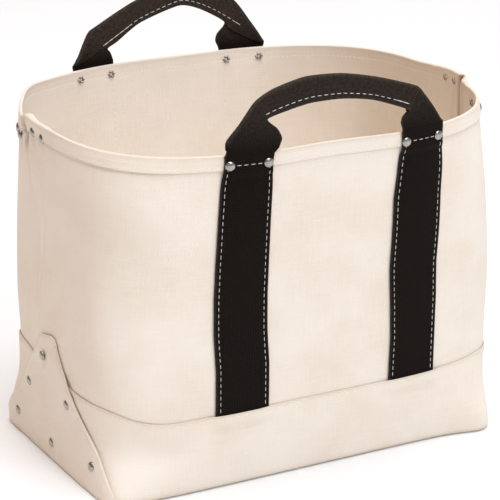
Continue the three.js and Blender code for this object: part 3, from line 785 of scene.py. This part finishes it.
def boot_ear(end, material):
    """A corner of the boot folded up against an end. Across it runs the share of
    its half width, up it the height, and its thickness falls to the fold along a
    quarter circle. Above the boot it lies closer to the wall."""
    foot, top = EAR_FRONT["height"][0], EAR_FRONT["height"][-1]
    climb = np.sin(np.linspace(0, np.pi / 2, 64))[:, None]
    share = np.sin(np.linspace(-np.pi / 2, np.pi / 2, 121))[None]
    height = foot + (top - foot) * climb
    front, back = (np.interp(height, side["height"], side["half"]) for side in (EAR_FRONT, EAR_BACK))
    back = back * EAR_SIDES[end]
    half = np.where(share < 0, front, back)
    along = half * share
    tip = top - EAR_TIP_FALL * np.maximum(along - EAR_TIP_FROM, 0)
    z = foot + (tip - foot) * climb
    place = from_seam(end, z, along)
    edge = np.minimum(half * (1 - np.abs(share)), tip - z)
    fold = np.clip(edge / (EAR_LAYERS / 2), 0, 1)
    thick = np.maximum(EAR_LAYERS * np.sqrt(1 - (1 - fold) ** 2), EAR_LEAST)
    rise = smooth_step(z, foot - 3, foot + 5)
    bare = smooth_step(z - BOOT_HEIGHT - boot_rise(*end_points(end, place)), *EAR_CLOSES)
    under = EAR_IN + (EAR_CLOSE - EAR_IN) * bare - (EAR_IN - BOOT_OUT) * (1 - rise)
    curl, reach = EAR_CURL
    middle = under + EAR_LAYERS / 2 + curl * bell(edge, reach) * rise * (1 - bare)
    outer, inner = (on_face(end, place, z, middle + way * thick / 2) for way in (1, -1))
    grid = np.concatenate([outer, inner[:, ::-1]], 1)[:, ::-1]
    # Painted shade: darker along the folded edges, for the dark line where they stand off the wall
    painted_and_worn = bell(edge, 2) * rise
    wear_and_painted_light = np.concatenate([painted_and_worn, painted_and_worn[:, ::-1]], 1)[:, ::-1]
    shell = grid_shell(grid, wear_and_painted_light=wear_and_painted_light, strip=True)
    return make_piece(f"{end}_boot_ear", [shell], material)


# Webbing

def handle_point(face, along, up, out):
    """A point of a handle: on the wall below the rim, and above
    it drawn to the straight line between the straps."""
    foot = on_face(face, along, RIM_HEIGHT + np.minimum(up, 0), out)
    rims = [strap[2] for strap in HANDLES[face]["straps"]]
    left, right = (on_face(face, rim, RIM_HEIGHT, out) for rim in rims)
    share = (foot[..., 0] - left[..., 0]) / (right[..., 0] - left[..., 0])
    straight = left[..., 1] + (right[..., 1] - left[..., 1]) * share
    above = np.maximum(up, 0)
    y = foot[..., 1] + (straight - foot[..., 1]) * smooth_step(above, 0, HANDLE_STRAIGHT)
    return np.stack([foot[..., 0], y, foot[..., 2] + above], -1)


def strap_rows(strap, ups):
    """Rows of the flat webbing on the wall, at heights up from the rim, as the run's rows are given."""
    side, foot, rim = strap
    ups = np.asarray(ups, float)
    middle = rim + (foot - rim) * ups / (BOOT_HEIGHT - RIM_HEIGHT) + np.interp(ups, BOW_UP, BOW[side])
    edge = side * WEBBING_WIDTH / 2 * np.interp(ups, BOW_UP, DRAWN[side])
    return np.column_stack([middle + edge, ups, middle - edge, ups, 0 * ups, 0 * ups])


def run_rows(face, places):
    """Rows of the webbing above the rim: a cubic through the listed rows,
    whose slopes join the rows either side. The last column is how far a sharp
    fold stands out, rising slowly to it and falling away at once."""
    handle = HANDLES[face]
    rows = np.asarray(handle["run"], float)
    padded = np.concatenate([2 * rows[:1] - rows[1:2], rows, 2 * rows[-1:] - rows[-2:-1]])
    slope = RUN_TENSION * (padded[2:] - padded[:-2])
    row = np.clip(np.floor(places).astype(int), 0, len(rows) - 2)
    t = (places - row)[:, None]
    run = cubic(rows[row], rows[row + 1], (slope[row], slope[row + 1]), t)
    moved = [column.endswith("along") for column in RUN_COLUMNS]
    past = places - SHOULDER.get(face, np.inf)
    crest = bell(past, np.where(past < 0, SHOULDER["before"], SHOULDER["after"]))
    return np.column_stack([run + handle["middle"] * np.array(moved), SHOULDER["height"] * crest])


def fold_radius(folded):
    """Width of the webbing before its fold, and the fold's radius, which dies away with the flap."""
    crease = WEBBING_WIDTH / (1 + folded)
    radius = (WEBBING + FOLD_GAP) / 2 * smooth_step(WEBBING_WIDTH - crease, 0, FOLD_GROWS)
    return crease, np.maximum(radius, 0.001)


def webbing_plan(face, rows, across, offset):
    """Places across rows of webbing, from the open edge: level to the fold,
    round it on an arc, and back behind. Gives how far along and up each lies
    and how far out, pinched towards the strap's middle at the rivets."""
    fold_along, fold_up, open_along, open_up, folded, crest = rows.T[..., None]
    crease, radius = fold_radius(folded)
    before = crease - across
    quarter = radius * np.pi / 2
    turn = np.clip((quarter - before) / radius, 0, np.pi)
    reach = radius + np.maximum(np.abs(before) - quarter, 0) - (radius + offset) * np.sin(turn)
    depth = (radius + offset) * np.cos(turn) - radius
    share = reach / (crease + radius - quarter)
    along = fold_along + (open_along - fold_along) * share
    up = fold_up + (open_up - fold_up) * share
    left, right = (strap[2] for strap in HANDLES[face]["straps"])
    middle = np.where(along < HANDLES[face]["middle"], left, right)
    pinch = PINCH["share"] * bell(up + STRAP_RIVET_DROP, PINCH["reach"])
    along = along + (middle - along) * pinch
    hem = smooth_step(up, -HEM_HEIGHT - STRAP_LIFT[0], -HEM_HEIGHT - STRAP_LIFT[1])
    out = STRAP_GAP + (STRAP_ON_HEM - STRAP_GAP) * hem + WEBBING / 2 + depth + crest
    return along, up, out


def webbing_surface(face, rows, across, offset):
    """Points of the webbing where its plan puts them."""
    return handle_point(face, *webbing_plan(face, rows, across, offset))


def webbing_columns(folded):
    """Places across the webbing: even where it is flat, and crowded at the fold as the flap grows."""
    counts = (22, 16, 20)
    reach, crowd = 2.2, 1.3
    crease, radius = fold_radius(folded)
    even = np.cumsum(counts) / sum(counts) * WEBBING_WIDTH
    amount = smooth_step(WEBBING_WIDTH - crease, 0, 10)
    first = even[0] + (crease - reach * radius - even[0]) * amount
    second = even[1] + (crease + reach * radius - even[1]) * amount
    shares = [np.linspace(0, 1, count, endpoint=False) for count in counts]
    flat = first * shares[0] ** crowd
    turned = first + (second - first) * shares[1]
    behind = second + (WEBBING_WIDTH - second) * (1 - (1 - np.append(shares[2], 1)) ** crowd)
    return np.concatenate([flat, turned, behind], 1)


def handle_webbing(face, material):
    """One length of webbing: up the left strap, folded along the grip, and down the right strap."""
    handle = HANDLES[face]
    left, right = handle["straps"]
    last = len(handle["run"]) - 1
    foot = BOOT_HEIGHT - STRAP_TAIL - RIM_HEIGHT
    ups = np.concatenate([np.linspace(foot, -HEM_HEIGHT - 12, 56), np.linspace(-HEM_HEIGHT - 9, -1, 14)])
    run = run_rows(face, np.linspace(0, last, 14 * last + 1))
    rows = np.concatenate([strap_rows(left, ups), run, strap_rows(right, ups[::-1])])
    folded = rows[:, FOLDED]
    across = webbing_columns(folded)
    selvedge = np.minimum(across, WEBBING_WIDTH - across)
    half = WEBBING / 2 * np.sqrt(1 - (1 - np.clip(selvedge, 0, 1)) ** 2)
    half = np.maximum(half, SELVEDGE_LEAST)
    outer, inner = (webbing_surface(face, rows, across, way * half) for way in (1, -1))
    grid = np.concatenate([outer, inner[:, ::-1]], 1)
    along = lengths(outer, 0).mean(1)
    travel = np.broadcast_to(along[:, None], across.shape)
    spots = np.stack([across, travel], -1)
    crease, radius = fold_radius(folded)
    # Lighter at the selvedges, the fold and the grip: partly rubbed wear and partly painted highlight
    # and sheen, more on the back grip, which faces the light
    painted_and_worn = bell(selvedge, 1.2) + bell(across - crease, 2) * (radius > 0.5) + GRIP_WEAR_AND_SHEEN[face] * folded
    spots, wear_and_painted_light = (np.concatenate([side, side[:, ::-1]], 1) for side in (spots, painted_and_worn))
    if face == "front":
        grid, spots, wear_and_painted_light = grid[:, ::-1], spots[:, ::-1], wear_and_painted_light[:, ::-1]
    shell = grid_shell(grid, corners(closed(spots)), wear_and_painted_light, strip=True)
    piece = make_piece(f"{face}_handle_webbing", [shell], material, [f"{face}_handle_strap"])
    return piece, along[-1]


# Thread

def along_path(spots, travelled, values):
    """Values of a path's points read at distances along it, by straight lines between the points."""
    return np.stack([np.interp(spots, travelled, values[:, axis]) for axis in range(3)], -1)


def stitches(path, lifted, pitch=STITCH_PITCH, length=STITCH_LENGTH, thread=THREAD):
    """Stitches along a path on the cloth. Each is a tube about the path whose
    radius is a half ellipse, lying half sunk in the cloth and dipping at its
    ends. The lifted path gives the way out of the cloth."""
    travelled = lengths(path, 0)
    count = int((travelled[-1] + pitch - length) // pitch)
    spare = travelled[-1] - count * pitch + pitch - length
    bow = np.linspace(-1, 1, 6)
    starts = spare / 2 + pitch * np.arange(count)[:, None]
    spots = starts + length * (bow[None] + 1) / 2
    outward = lifted - path
    outward /= np.linalg.norm(outward, axis=-1, keepdims=True)
    middle, out = (along_path(spots, travelled, values) for values in (path, outward))
    along = middle[:, -1:] - middle[:, :1]
    along /= np.linalg.norm(along, axis=-1, keepdims=True)
    side = np.cross(along, out)
    swell = np.sqrt(STITCH["blunt"] - bow**2)[None, :, None, None]
    middle = middle + out * (thread * (STITCH["lift"] - STITCH["dive"] * bow**4))[None, :, None]
    turn = np.linspace(0, 2 * np.pi, 6, endpoint=False)[None, None, :, None]
    round_it = out[:, :, None] * np.cos(turn) + side[:, :, None] * np.sin(turn)
    tubes = middle[:, :, None] + thread / 2 * swell * round_it
    rows, columns = tubes.shape[1:3]
    every = np.concatenate([tubes.reshape(count, -1, 3), tubes[:, [0, -1]].mean(2)], 1)
    shift = np.arange(count)[:, None, None] * every.shape[1]
    faces = [(kind[None] + shift).reshape(-1, kind.shape[1])
             for kind in (cell_faces(rows, columns), fan_faces(rows, columns))]
    points = every.reshape(-1, 3)
    places = [points[rows_of][..., :2] for rows_of in faces]
    return points, faces, places, np.zeros(len(points))


def thread_round(heights_and_outs, name, material):
    """Rows of stitches round the bag, each at a height
    and a distance out, inside rows facing inwards."""
    places = stations(*THREAD_STEPS, 0, 0)
    shells = []
    for height, out in heights_and_outs:
        way = 1 if out > 0 else -1
        x, y, z = ring_places(places, [[height]])
        on_boot = height < BOOT_HEIGHT
        rise = on_boot * boot_rise(x, y)
        lift = on_boot * over_straps(x, y, 0 * x) - (out < 0) * tuck_flap(x, y, z)
        path, lifted = (closed(rings(places, height + rise, out + more + lift))[0] for more in (0, way))
        shells.append(stitches(path, lifted, **EDGE_STITCH))
    return make_piece(name, shells, material)


def strap_lines(face):
    """Each line of stitches down a handle's straps: the strap's rows, and the line's place across."""
    foot = BOOT_HEIGHT - RIM_HEIGHT + STRAP_STITCH_FOOT
    ups = np.linspace(foot, -STRAP_RIVET_DROP, STRAP_STITCH_ROWS)
    for strap in HANDLES[face]["straps"]:
        rows = strap_rows(strap, ups)
        for across in (STRAP_STITCH, WEBBING_WIDTH - STRAP_STITCH):
            yield rows, np.full((len(rows), 1), across)


def strap_thread(face, material):
    """Stitches that hold a handle down: two lines on each strap, and one between its rivets."""
    lines = [[webbing_surface(face, rows, across, WEBBING / 2 + lift)[:, 0] for lift in (0, 1)]
             for rows, across in strap_lines(face)]
    bar = np.linspace(STRAP_STITCH, WEBBING_WIDTH - STRAP_STITCH, 60)[None]
    for strap in HANDLES[face]["straps"]:
        row = strap_rows(strap, [-STRAP_RIVET_DROP])
        lines.append([webbing_surface(face, row, bar, WEBBING / 2 + lift)[0] for lift in (0, 1)])
    shells = [stitches(*line) for line in lines]
    return make_piece(f"{face}_strap_thread", shells, material)


def inside_thread(face, material):
    """The same strap lines where they come through to the inside of the wall."""
    shells = []
    for rows, across in strap_lines(face):
        along, up, out = webbing_plan(face, rows, across, 0.0)
        z = RIM_HEIGHT + rows[:, 1]
        inside = (on_face(face, along[:, 0], z, -CANVAS - lift) for lift in (0, 1))
        shells.append(stitches(*inside, thread=INSIDE_THREAD))
    return make_piece(f"{face}_inside_thread", shells, material)


def run_on(values, before, after):
    """A path's plan with both ends run on straight by these distances."""
    ends = ((values[0], values[3], before), (values[-1], values[-4], after))
    start, stop = (end + (end - near) / np.linalg.norm(end - near) * more for end, near, more in ends)
    return np.concatenate([[start], values, [stop]])


def grip_thread(face, material):
    """Stitches that close the folded grip: a line above its
    open edge on both faces, sewn over again at its ends."""
    first, last, before, after = GRIP_LINE[face]
    rows = run_rows(face, np.linspace(first, last, 160))
    crease, radius = fold_radius(rows[:, FOLDED])
    shells = []
    for way, across in ((1, 0 * crease + GRIP_STITCH), (-1, 2 * crease - GRIP_STITCH)):
        along, up, out = (values[:, 0] for values in webbing_plan(face, rows, across, WEBBING / 2))
        along, up = run_on(np.column_stack([along, up]), before, after).T
        out = np.concatenate([out[:1], out, out[-1:]])
        path, lifted = (handle_point(face, along, up, out + lift) for lift in (0, way))
        shells.append(stitches(path, lifted))
        travelled = lengths(path, 0)
        spots = np.arange(0, travelled[-1], 1.0)
        first_end, last_end = BACKSTITCH[face]
        for start, stop in ((0, first_end), (travelled[-1] - last_end, travelled[-1])):
            chosen = spots[(spots >= start) & (spots <= stop)]
            if len(chosen) > STITCH_PITCH:
                again = [along_path(chosen, travelled, line) for line in (path, lifted)]
                shells.append(stitches(*again, length=STITCH_PITCH, thread=BACKSTITCH_SWELL * THREAD))
    return make_piece(f"{face}_grip_thread", shells, material)


# Rivets

def rivet(name, face, along, z, outer, inner, material):
    """A rivet turned about the way out of the cloth: domed
    head, shank, and a clinch split into petals inside."""
    seat = on_face(face, along, z, 0.0)
    out = way_out(face, along, z)
    side = np.cross([0.0, 0.0, 1.0], out)
    side /= np.linalg.norm(side)
    third = np.cross(out, side)
    head, crown, shank, clinch, burr = RIVET.values()
    lip, under = RIVET_LIP.values()
    reaches, drops, cuts = (np.array(CLINCH[key]) for key in ("reach", "drop", "cut"))
    dome = np.radians(np.linspace(8, 86, 9))
    radius = np.concatenate([head * np.sin(dome), [head, head - lip, shank, shank], clinch * reaches])
    height = np.concatenate([outer + crown * np.cos(dome), [outer, outer - under, outer - lip, inner],
                             inner - burr * drops])
    petals = np.concatenate([np.zeros(len(radius) - len(cuts)), cuts])
    turn = np.linspace(0, 2 * np.pi, RIVET_SIDES, endpoint=False)[None]
    reach = radius[:, None] * (1 - petals[:, None] * (0.5 - 0.5 * np.cos(CLINCH["petals"] * turn)))
    ring = np.cos(turn)[..., None] * side - np.sin(turn)[..., None] * third
    grid = seat + reach[..., None] * ring + height[:, None, None] * out
    return make_piece(f"{name}_steel", [grid_shell(grid)], material, [name])


# Materials

def linear(code):
    """Linear colour of an sRGB hex value."""
    channels = np.array([int(code[place:place + 2], 16) for place in (1, 3, 5)]) / 255
    values = np.where(channels <= 0.04045, channels / 12.92, ((channels + 0.055) / 1.055) ** 2.4)
    return (*values, 1.0)


def add_node(tree, kind, settings=(), values=(), links=()):
    """A node with its settings, the constants on its sockets, and the outputs that feed its sockets."""
    node = tree.nodes.new(f"ShaderNode{kind}")
    for key, value in dict(settings).items():
        setattr(node, key, value)
    for key, value in dict(values).items():
        node.inputs[key].default_value = value
    for key, output in dict(links).items():
        tree.links.new(output, node.inputs[key])
    return node


def new_material(name, values):
    """A material with one shader, whose constants are set on its own sockets."""
    material = bpy.data.materials.new(name)
    material.use_nodes = True
    shader = material.node_tree.nodes["Principled BSDF"]
    for key, value in values.items():
        shader.inputs[key].default_value = value
    return material, material.node_tree, shader


def noise(tree, size, detail, place):
    """Cloudy noise whose patches are of a size in metres."""
    return add_node(tree, "TexNoise", (), {"Scale": 1 / size, "Detail": detail},
                    {"Vector": place}).outputs["Fac"]


def bands(tree, period, distortion, place):
    """Sine bands across and along a cloth that repeat every so many millimetres."""
    return [add_node(tree, "TexWave", {"bands_direction": way},
                     {"Scale": WAVE_PERIOD / (period * MM), "Distortion": distortion},
                     {"Vector": place}).outputs["Fac"] for way in "XY"]


def reckon(tree, operation, *terms, clamp=False):
    """One sum on numbers and outputs, in the order of the node's sockets."""
    values = {place: term for place, term in enumerate(terms) if isinstance(term, float)}
    links = {place: term for place, term in enumerate(terms) if place not in values}
    return add_node(tree, "Math", {"operation": operation, "use_clamp": clamp},
                    values, links).outputs[0]


def ramp(tree, value, low=0.0, high=1.0, start=0.0, stop=1.0):
    """A value carried from one range to another, and held at its ends."""
    limits = {"From Min": low, "From Max": high, "To Min": start, "To Max": stop}
    return add_node(tree, "MapRange", (), limits, {"Value": value}).outputs[0]


def blend(tree, share, first, second):
    """A colour between two others, each a hex value or an output."""
    sides = {"A": first, "B": second}
    values = {key: linear(side) for key, side in sides.items() if isinstance(side, str)}
    links = {key: side for key, side in sides.items() if key not in values}
    return add_node(tree, "Mix", {"data_type": "RGBA"}, values,
                    {"Factor": share, **links}).outputs["Result"]


def surface(tree, shader, colour, height, strength, depth):
    """Feed a shader its colour, and bumps of a strength and a depth in metres that follow a height."""
    bump = add_node(tree, "Bump", (), {"Strength": strength, "Distance": depth},
                    {"Height": height})
    tree.links.new(colour, shader.inputs["Base Color"])
    tree.links.new(bump.outputs[0], shader.inputs["Normal"])


def cloth_inputs(tree):
    """What a cloth is drawn from: its own two directions, the place in the object, and its marks of wear
    and painted light.
    """
    return (add_node(tree, "UVMap", {"uv_map": "cloth"}).outputs[0],
            add_node(tree, "TexCoord").outputs["Object"],
            add_node(tree, "Attribute", {"attribute_name": "wear_and_painted_light"}).outputs["Fac"])


def cotton_duck():
    """Natural cotton duck, plain woven and unbleached: a matt cream cloth whose threads show as a fine
    grain, with slubs, a few dark seed specks, soil along the rim, and painted shade in the tucks, along
    the hem's, boot's and ears' edges and towards the floor."""
    material, tree, shader = new_material("cotton_duck_plain_woven", {
        "Roughness": 0.92, "Specular IOR Level": 0.2, "Sheen Weight": 0.12, "Sheen Roughness": 0.5,
    })
    cloth, place, wear_and_painted_light = cloth_inputs(tree)
    threads_over = bands(tree, WEAVE, 0.6, cloth)
    warp, weft = (reckon(tree, "MULTIPLY_ADD", band, 2.0, -1.0) for band in threads_over)
    weave = reckon(tree, "MULTIPLY", warp, weft)
    # Slubs lie along both sets of threads
    long, thick = 1 / SLUB["long"], 1 / SLUB["thick"]
    stretched = [add_node(tree, "Mapping", (), {"Scale": scale}, {"Vector": cloth}).outputs[0]
                 for scale in ((long, thick, 1), (thick, long, 1))]
    slub = reckon(tree, "ADD", *(noise(tree, 1.0, 2.0, spot) for spot in stretched))
    threads = reckon(tree, "MULTIPLY_ADD", weave, 0.35, slub)
    uneven = ramp(tree, noise(tree, CLOUD, 4.0, place), low=0.35, high=0.7)
    body = blend(tree, uneven, DUCK["cream"], DUCK["shade"])
    woven = blend(tree, ramp(tree, threads, low=0.75, high=1.4, stop=0.5), body, DUCK["pale"])
    # Seed specks under a millimetre, one or two to a palm's breadth
    seeds = add_node(tree, "TexVoronoi", (), {"Scale": 1 / SEED_CELL}, {"Vector": cloth})
    near = ramp(tree, seeds.outputs["Distance"], low=0.03, high=0.05, start=1.0, stop=0.0)
    few = reckon(tree, "GREATER_THAN", seeds.outputs["Color"], 0.8)
    specked = blend(tree, reckon(tree, "MULTIPLY", near, few), woven, DUCK["seed"])
    # One darker colour for soil at the rim and for painted shade in the tucks, along edges and towards
    # the floor
    soil_and_shade = reckon(tree, "MULTIPLY", wear_and_painted_light, 0.35, clamp=True)
    darkened = blend(tree, soil_and_shade, specked, DUCK["soil_and_shade"])
    surface(tree, shader, darkened, threads, strength=0.35, depth=0.0004)
    return material


def cotton_webbing():
    """Black cotton webbing, woven narrow in ribs: nearly matt, with grey flecks where the ribs catch
    the light, and a greyer selvedge, fold and grip, partly rubbed and partly painted highlight and
    sheen."""
    material, tree, shader = new_material("black_cotton_webbing_woven", {
        "Roughness": 0.85, "Specular IOR Level": 0.08, "Sheen Weight": 0.08, "Sheen Roughness": 0.4,
    })
    cloth, place, wear_and_painted_light = cloth_inputs(tree)
    fleck = noise(tree, FLECK, 3.0, cloth)
    ribs = reckon(tree, "MULTIPLY", reckon(tree, "MULTIPLY", *bands(tree, RIB, 1.2, cloth)), fleck)
    body = blend(tree, ramp(tree, ribs, low=0.05, high=0.6), BLACK["deep"], BLACK["fleck"])
    # Greyer where rubbed, and painted highlight and sheen at the selvedges, the fold and the grips
    rub_and_sheen = reckon(tree, "MULTIPLY", reckon(tree, "MULTIPLY", wear_and_painted_light, 0.8, clamp=True), fleck)
    surface(tree, shader, blend(tree, rub_and_sheen, body, BLACK["rubbed_and_sheen"]), ribs, strength=0.6, depth=0.0005)
    return material


def sewing_thread(name, colours):
    """Heavy twisted thread: slightly shiny, with painted shade in patches that stand for the grooves
    between its plies.
    """
    material, tree, shader = new_material(name, {"Roughness": 0.6, "Sheen Weight": 0.1})
    plies = noise(tree, PLY, 2.0, add_node(tree, "TexCoord").outputs["Object"])
    surface(tree, shader, blend(tree, plies, *colours), plies, strength=0.4, depth=0.0002)
    return material


def nickel_steel():
    """Nickel-plated steel, pressed: bright and smooth on
    the crown, with faint tarnish and tool marks."""
    material, tree, shader = new_material("nickel_plated_steel_pressed", {"Metallic": 1.0})
    cloud = noise(tree, TARNISH, 4.0, add_node(tree, "TexCoord").outputs["Object"])
    tree.links.new(ramp(tree, cloud, start=0.16, stop=0.36), shader.inputs["Roughness"])
    surface(tree, shader, blend(tree, cloud, *STEEL), cloud, strength=0.12, depth=0.0002)
    return material


def studio_paper():
    """Matt white background paper: even and pale, with a trace of fibre."""
    material, tree, shader = new_material("white_paper_matt",
                                          {"Roughness": 0.95, "Specular IOR Level": 0.1})
    fibre = noise(tree, FIBRE, 2.0, add_node(tree, "TexCoord").outputs["Object"])
    tree.links.new(blend(tree, fibre, *PAPER), shader.inputs["Base Color"])
    return material


# The bag

def sew_bag():
    """Every piece of the bag."""
    duck, black, steel = cotton_duck(), cotton_webbing(), nickel_steel()
    white = sewing_thread("polyester_thread_twisted_white", WHITE_THREAD)
    natural = sewing_thread("cotton_thread_twisted_natural", NATURAL_THREAD)
    body = body_canvas(duck)
    boot = bottom_boot(duck)
    ears = [boot_ear(end, duck) for end in ("left", "right")]
    for face in HANDLES:
        webbing, length = handle_webbing(face, black)
        strap_thread(face, white)
        inside_thread(face, natural)
        grip_thread(face, white)
    hem = RIM_HEIGHT - HEM_HEIGHT + HEM_STITCH
    thread_round([(hem, CANVAS - STITCH_DIP), (hem, THREAD_SUNK - CANVAS)], "hem_thread", natural)
    edge = BOOT_HEIGHT - BOOT_STITCH
    thread_round([(edge, BOOT_OUT - THREAD_SUNK), (edge, -CANVAS)], "boot_thread", natural)
    for face, handle in HANDLES.items():
        z = RIM_HEIGHT - STRAP_RIVET_DROP
        spots = [rim + way * STRAP_RIVET_HALF for side, foot, rim in handle["straps"] for way in (-1, 1)]
        for number, along in enumerate(spots, 1):
            rivet(f"{face}_rivet_{number}", face, along, z, STRAP_ON_HEM + WEBBING, -CANVAS, steel)
    for end in ("left", "right"):
        for number, (along, drop) in enumerate(RIM_RIVETS[end], 1):
            z = RIM_HEIGHT - drop
            rivet(f"{end}_rim_rivet_{number}", end, from_seam(end, z, along), z, CANVAS, -CANVAS, steel)
        for number, (along, height) in enumerate(EAR_RIVETS, 1):
            place = from_seam(end, height, along)
            rivet(f"{end}_ear_rivet_{number}", end, place, height, EAR_IN + EAR_LAYERS, -CANVAS, steel)


# The studio

def aim(obj, location, target):
    """Stand a light or camera at a place and point it at another."""
    way = Vector(target) - Vector(location)
    obj.location = location
    obj.rotation_euler = way.to_track_quat("-Z", "Y").to_euler()


def from_bag(azimuth, elevation, distance, target):
    """A place seen from a target: azimuth 0 is straight out of the front, turning to the right."""
    turn, rise = math.radians(azimuth), math.radians(elevation)
    way = Vector((math.sin(turn) * math.cos(rise), -math.cos(turn) * math.cos(rise), math.sin(rise)))
    return Vector(target) + way * distance


def softbox(name, azimuth, elevation, distance, size, watts, colour):
    """A square area light aimed at the middle of the bag."""
    light = bpy.data.lights.new(name, "AREA")
    light.size = size
    light.energy = watts
    light.color = linear(colour)[:3]
    middle = Vector((0, 0, RIM_HEIGHT * MM / 2))
    aim(add_object(name, light), from_bag(azimuth, elevation, distance, middle), middle)


def studio():
    """Pale floor, soft lights, and a surround that goes
    from cool and bright to warm by a smooth step."""
    paper = bpy.data.meshes.new("studio_floor")
    edges = [(x * FLOOR_REACH, y * FLOOR_REACH, 0) for x, y in ((-1, -1), (1, -1), (1, 1), (-1, 1))]
    paper.from_pydata(edges, [], [(0, 1, 2, 3)])
    paper.materials.append(studio_paper())
    floor = add_object("studio_floor", paper)
    for light in LIGHTS:
        softbox(*light)
    world = bpy.data.worlds.new("studio_surround")
    world.use_nodes = True
    tree = world.node_tree
    way = add_node(tree, "TexCoord").outputs["Generated"]
    facing = add_node(tree, "VectorMath", {"operation": "DOT_PRODUCT"}, {1: SURROUND_WAY},
                      {0: way})
    share = add_node(tree, "MapRange", {"interpolation_type": "SMOOTHSTEP"},
                     dict(zip(("From Min", "From Max"), SURROUND_STEP)),
                     {"Value": facing.outputs["Value"]}).outputs[0]
    dim, bright = ([channel * SURROUND[side][1] for channel in linear(SURROUND[side][0])]
                   for side in ("dim", "bright"))
    glow = add_node(tree, "Mix", {"data_type": "RGBA"}, {"A": dim, "B": bright},
                    {"Factor": share})
    tree.links.new(glow.outputs["Result"], tree.nodes["Background"].inputs["Color"])
    bpy.context.scene.world = world
    bpy.context.scene.view_settings.view_transform = "Standard"


def picture_camera():
    """Camera at the picture's angle, its focal length worked out from pixels of the picture's frame."""
    camera = bpy.data.cameras.new("picture_camera")
    camera.sensor_width = SENSOR
    camera.lens = CAMERA_FOCUS_PIXELS / PICTURE_PIXELS * SENSOR
    camera.clip_end = CAMERA_REACH
    stand = add_object("picture_camera", camera)
    target = Vector(CAMERA_TARGET) * MM
    aim(stand, from_bag(CAMERA_AZIMUTH, CAMERA_ELEVATION, CAMERA_DISTANCE * MM, target), target)
    bpy.context.scene.camera = stand


picture_camera()
studio()
sew_bag()
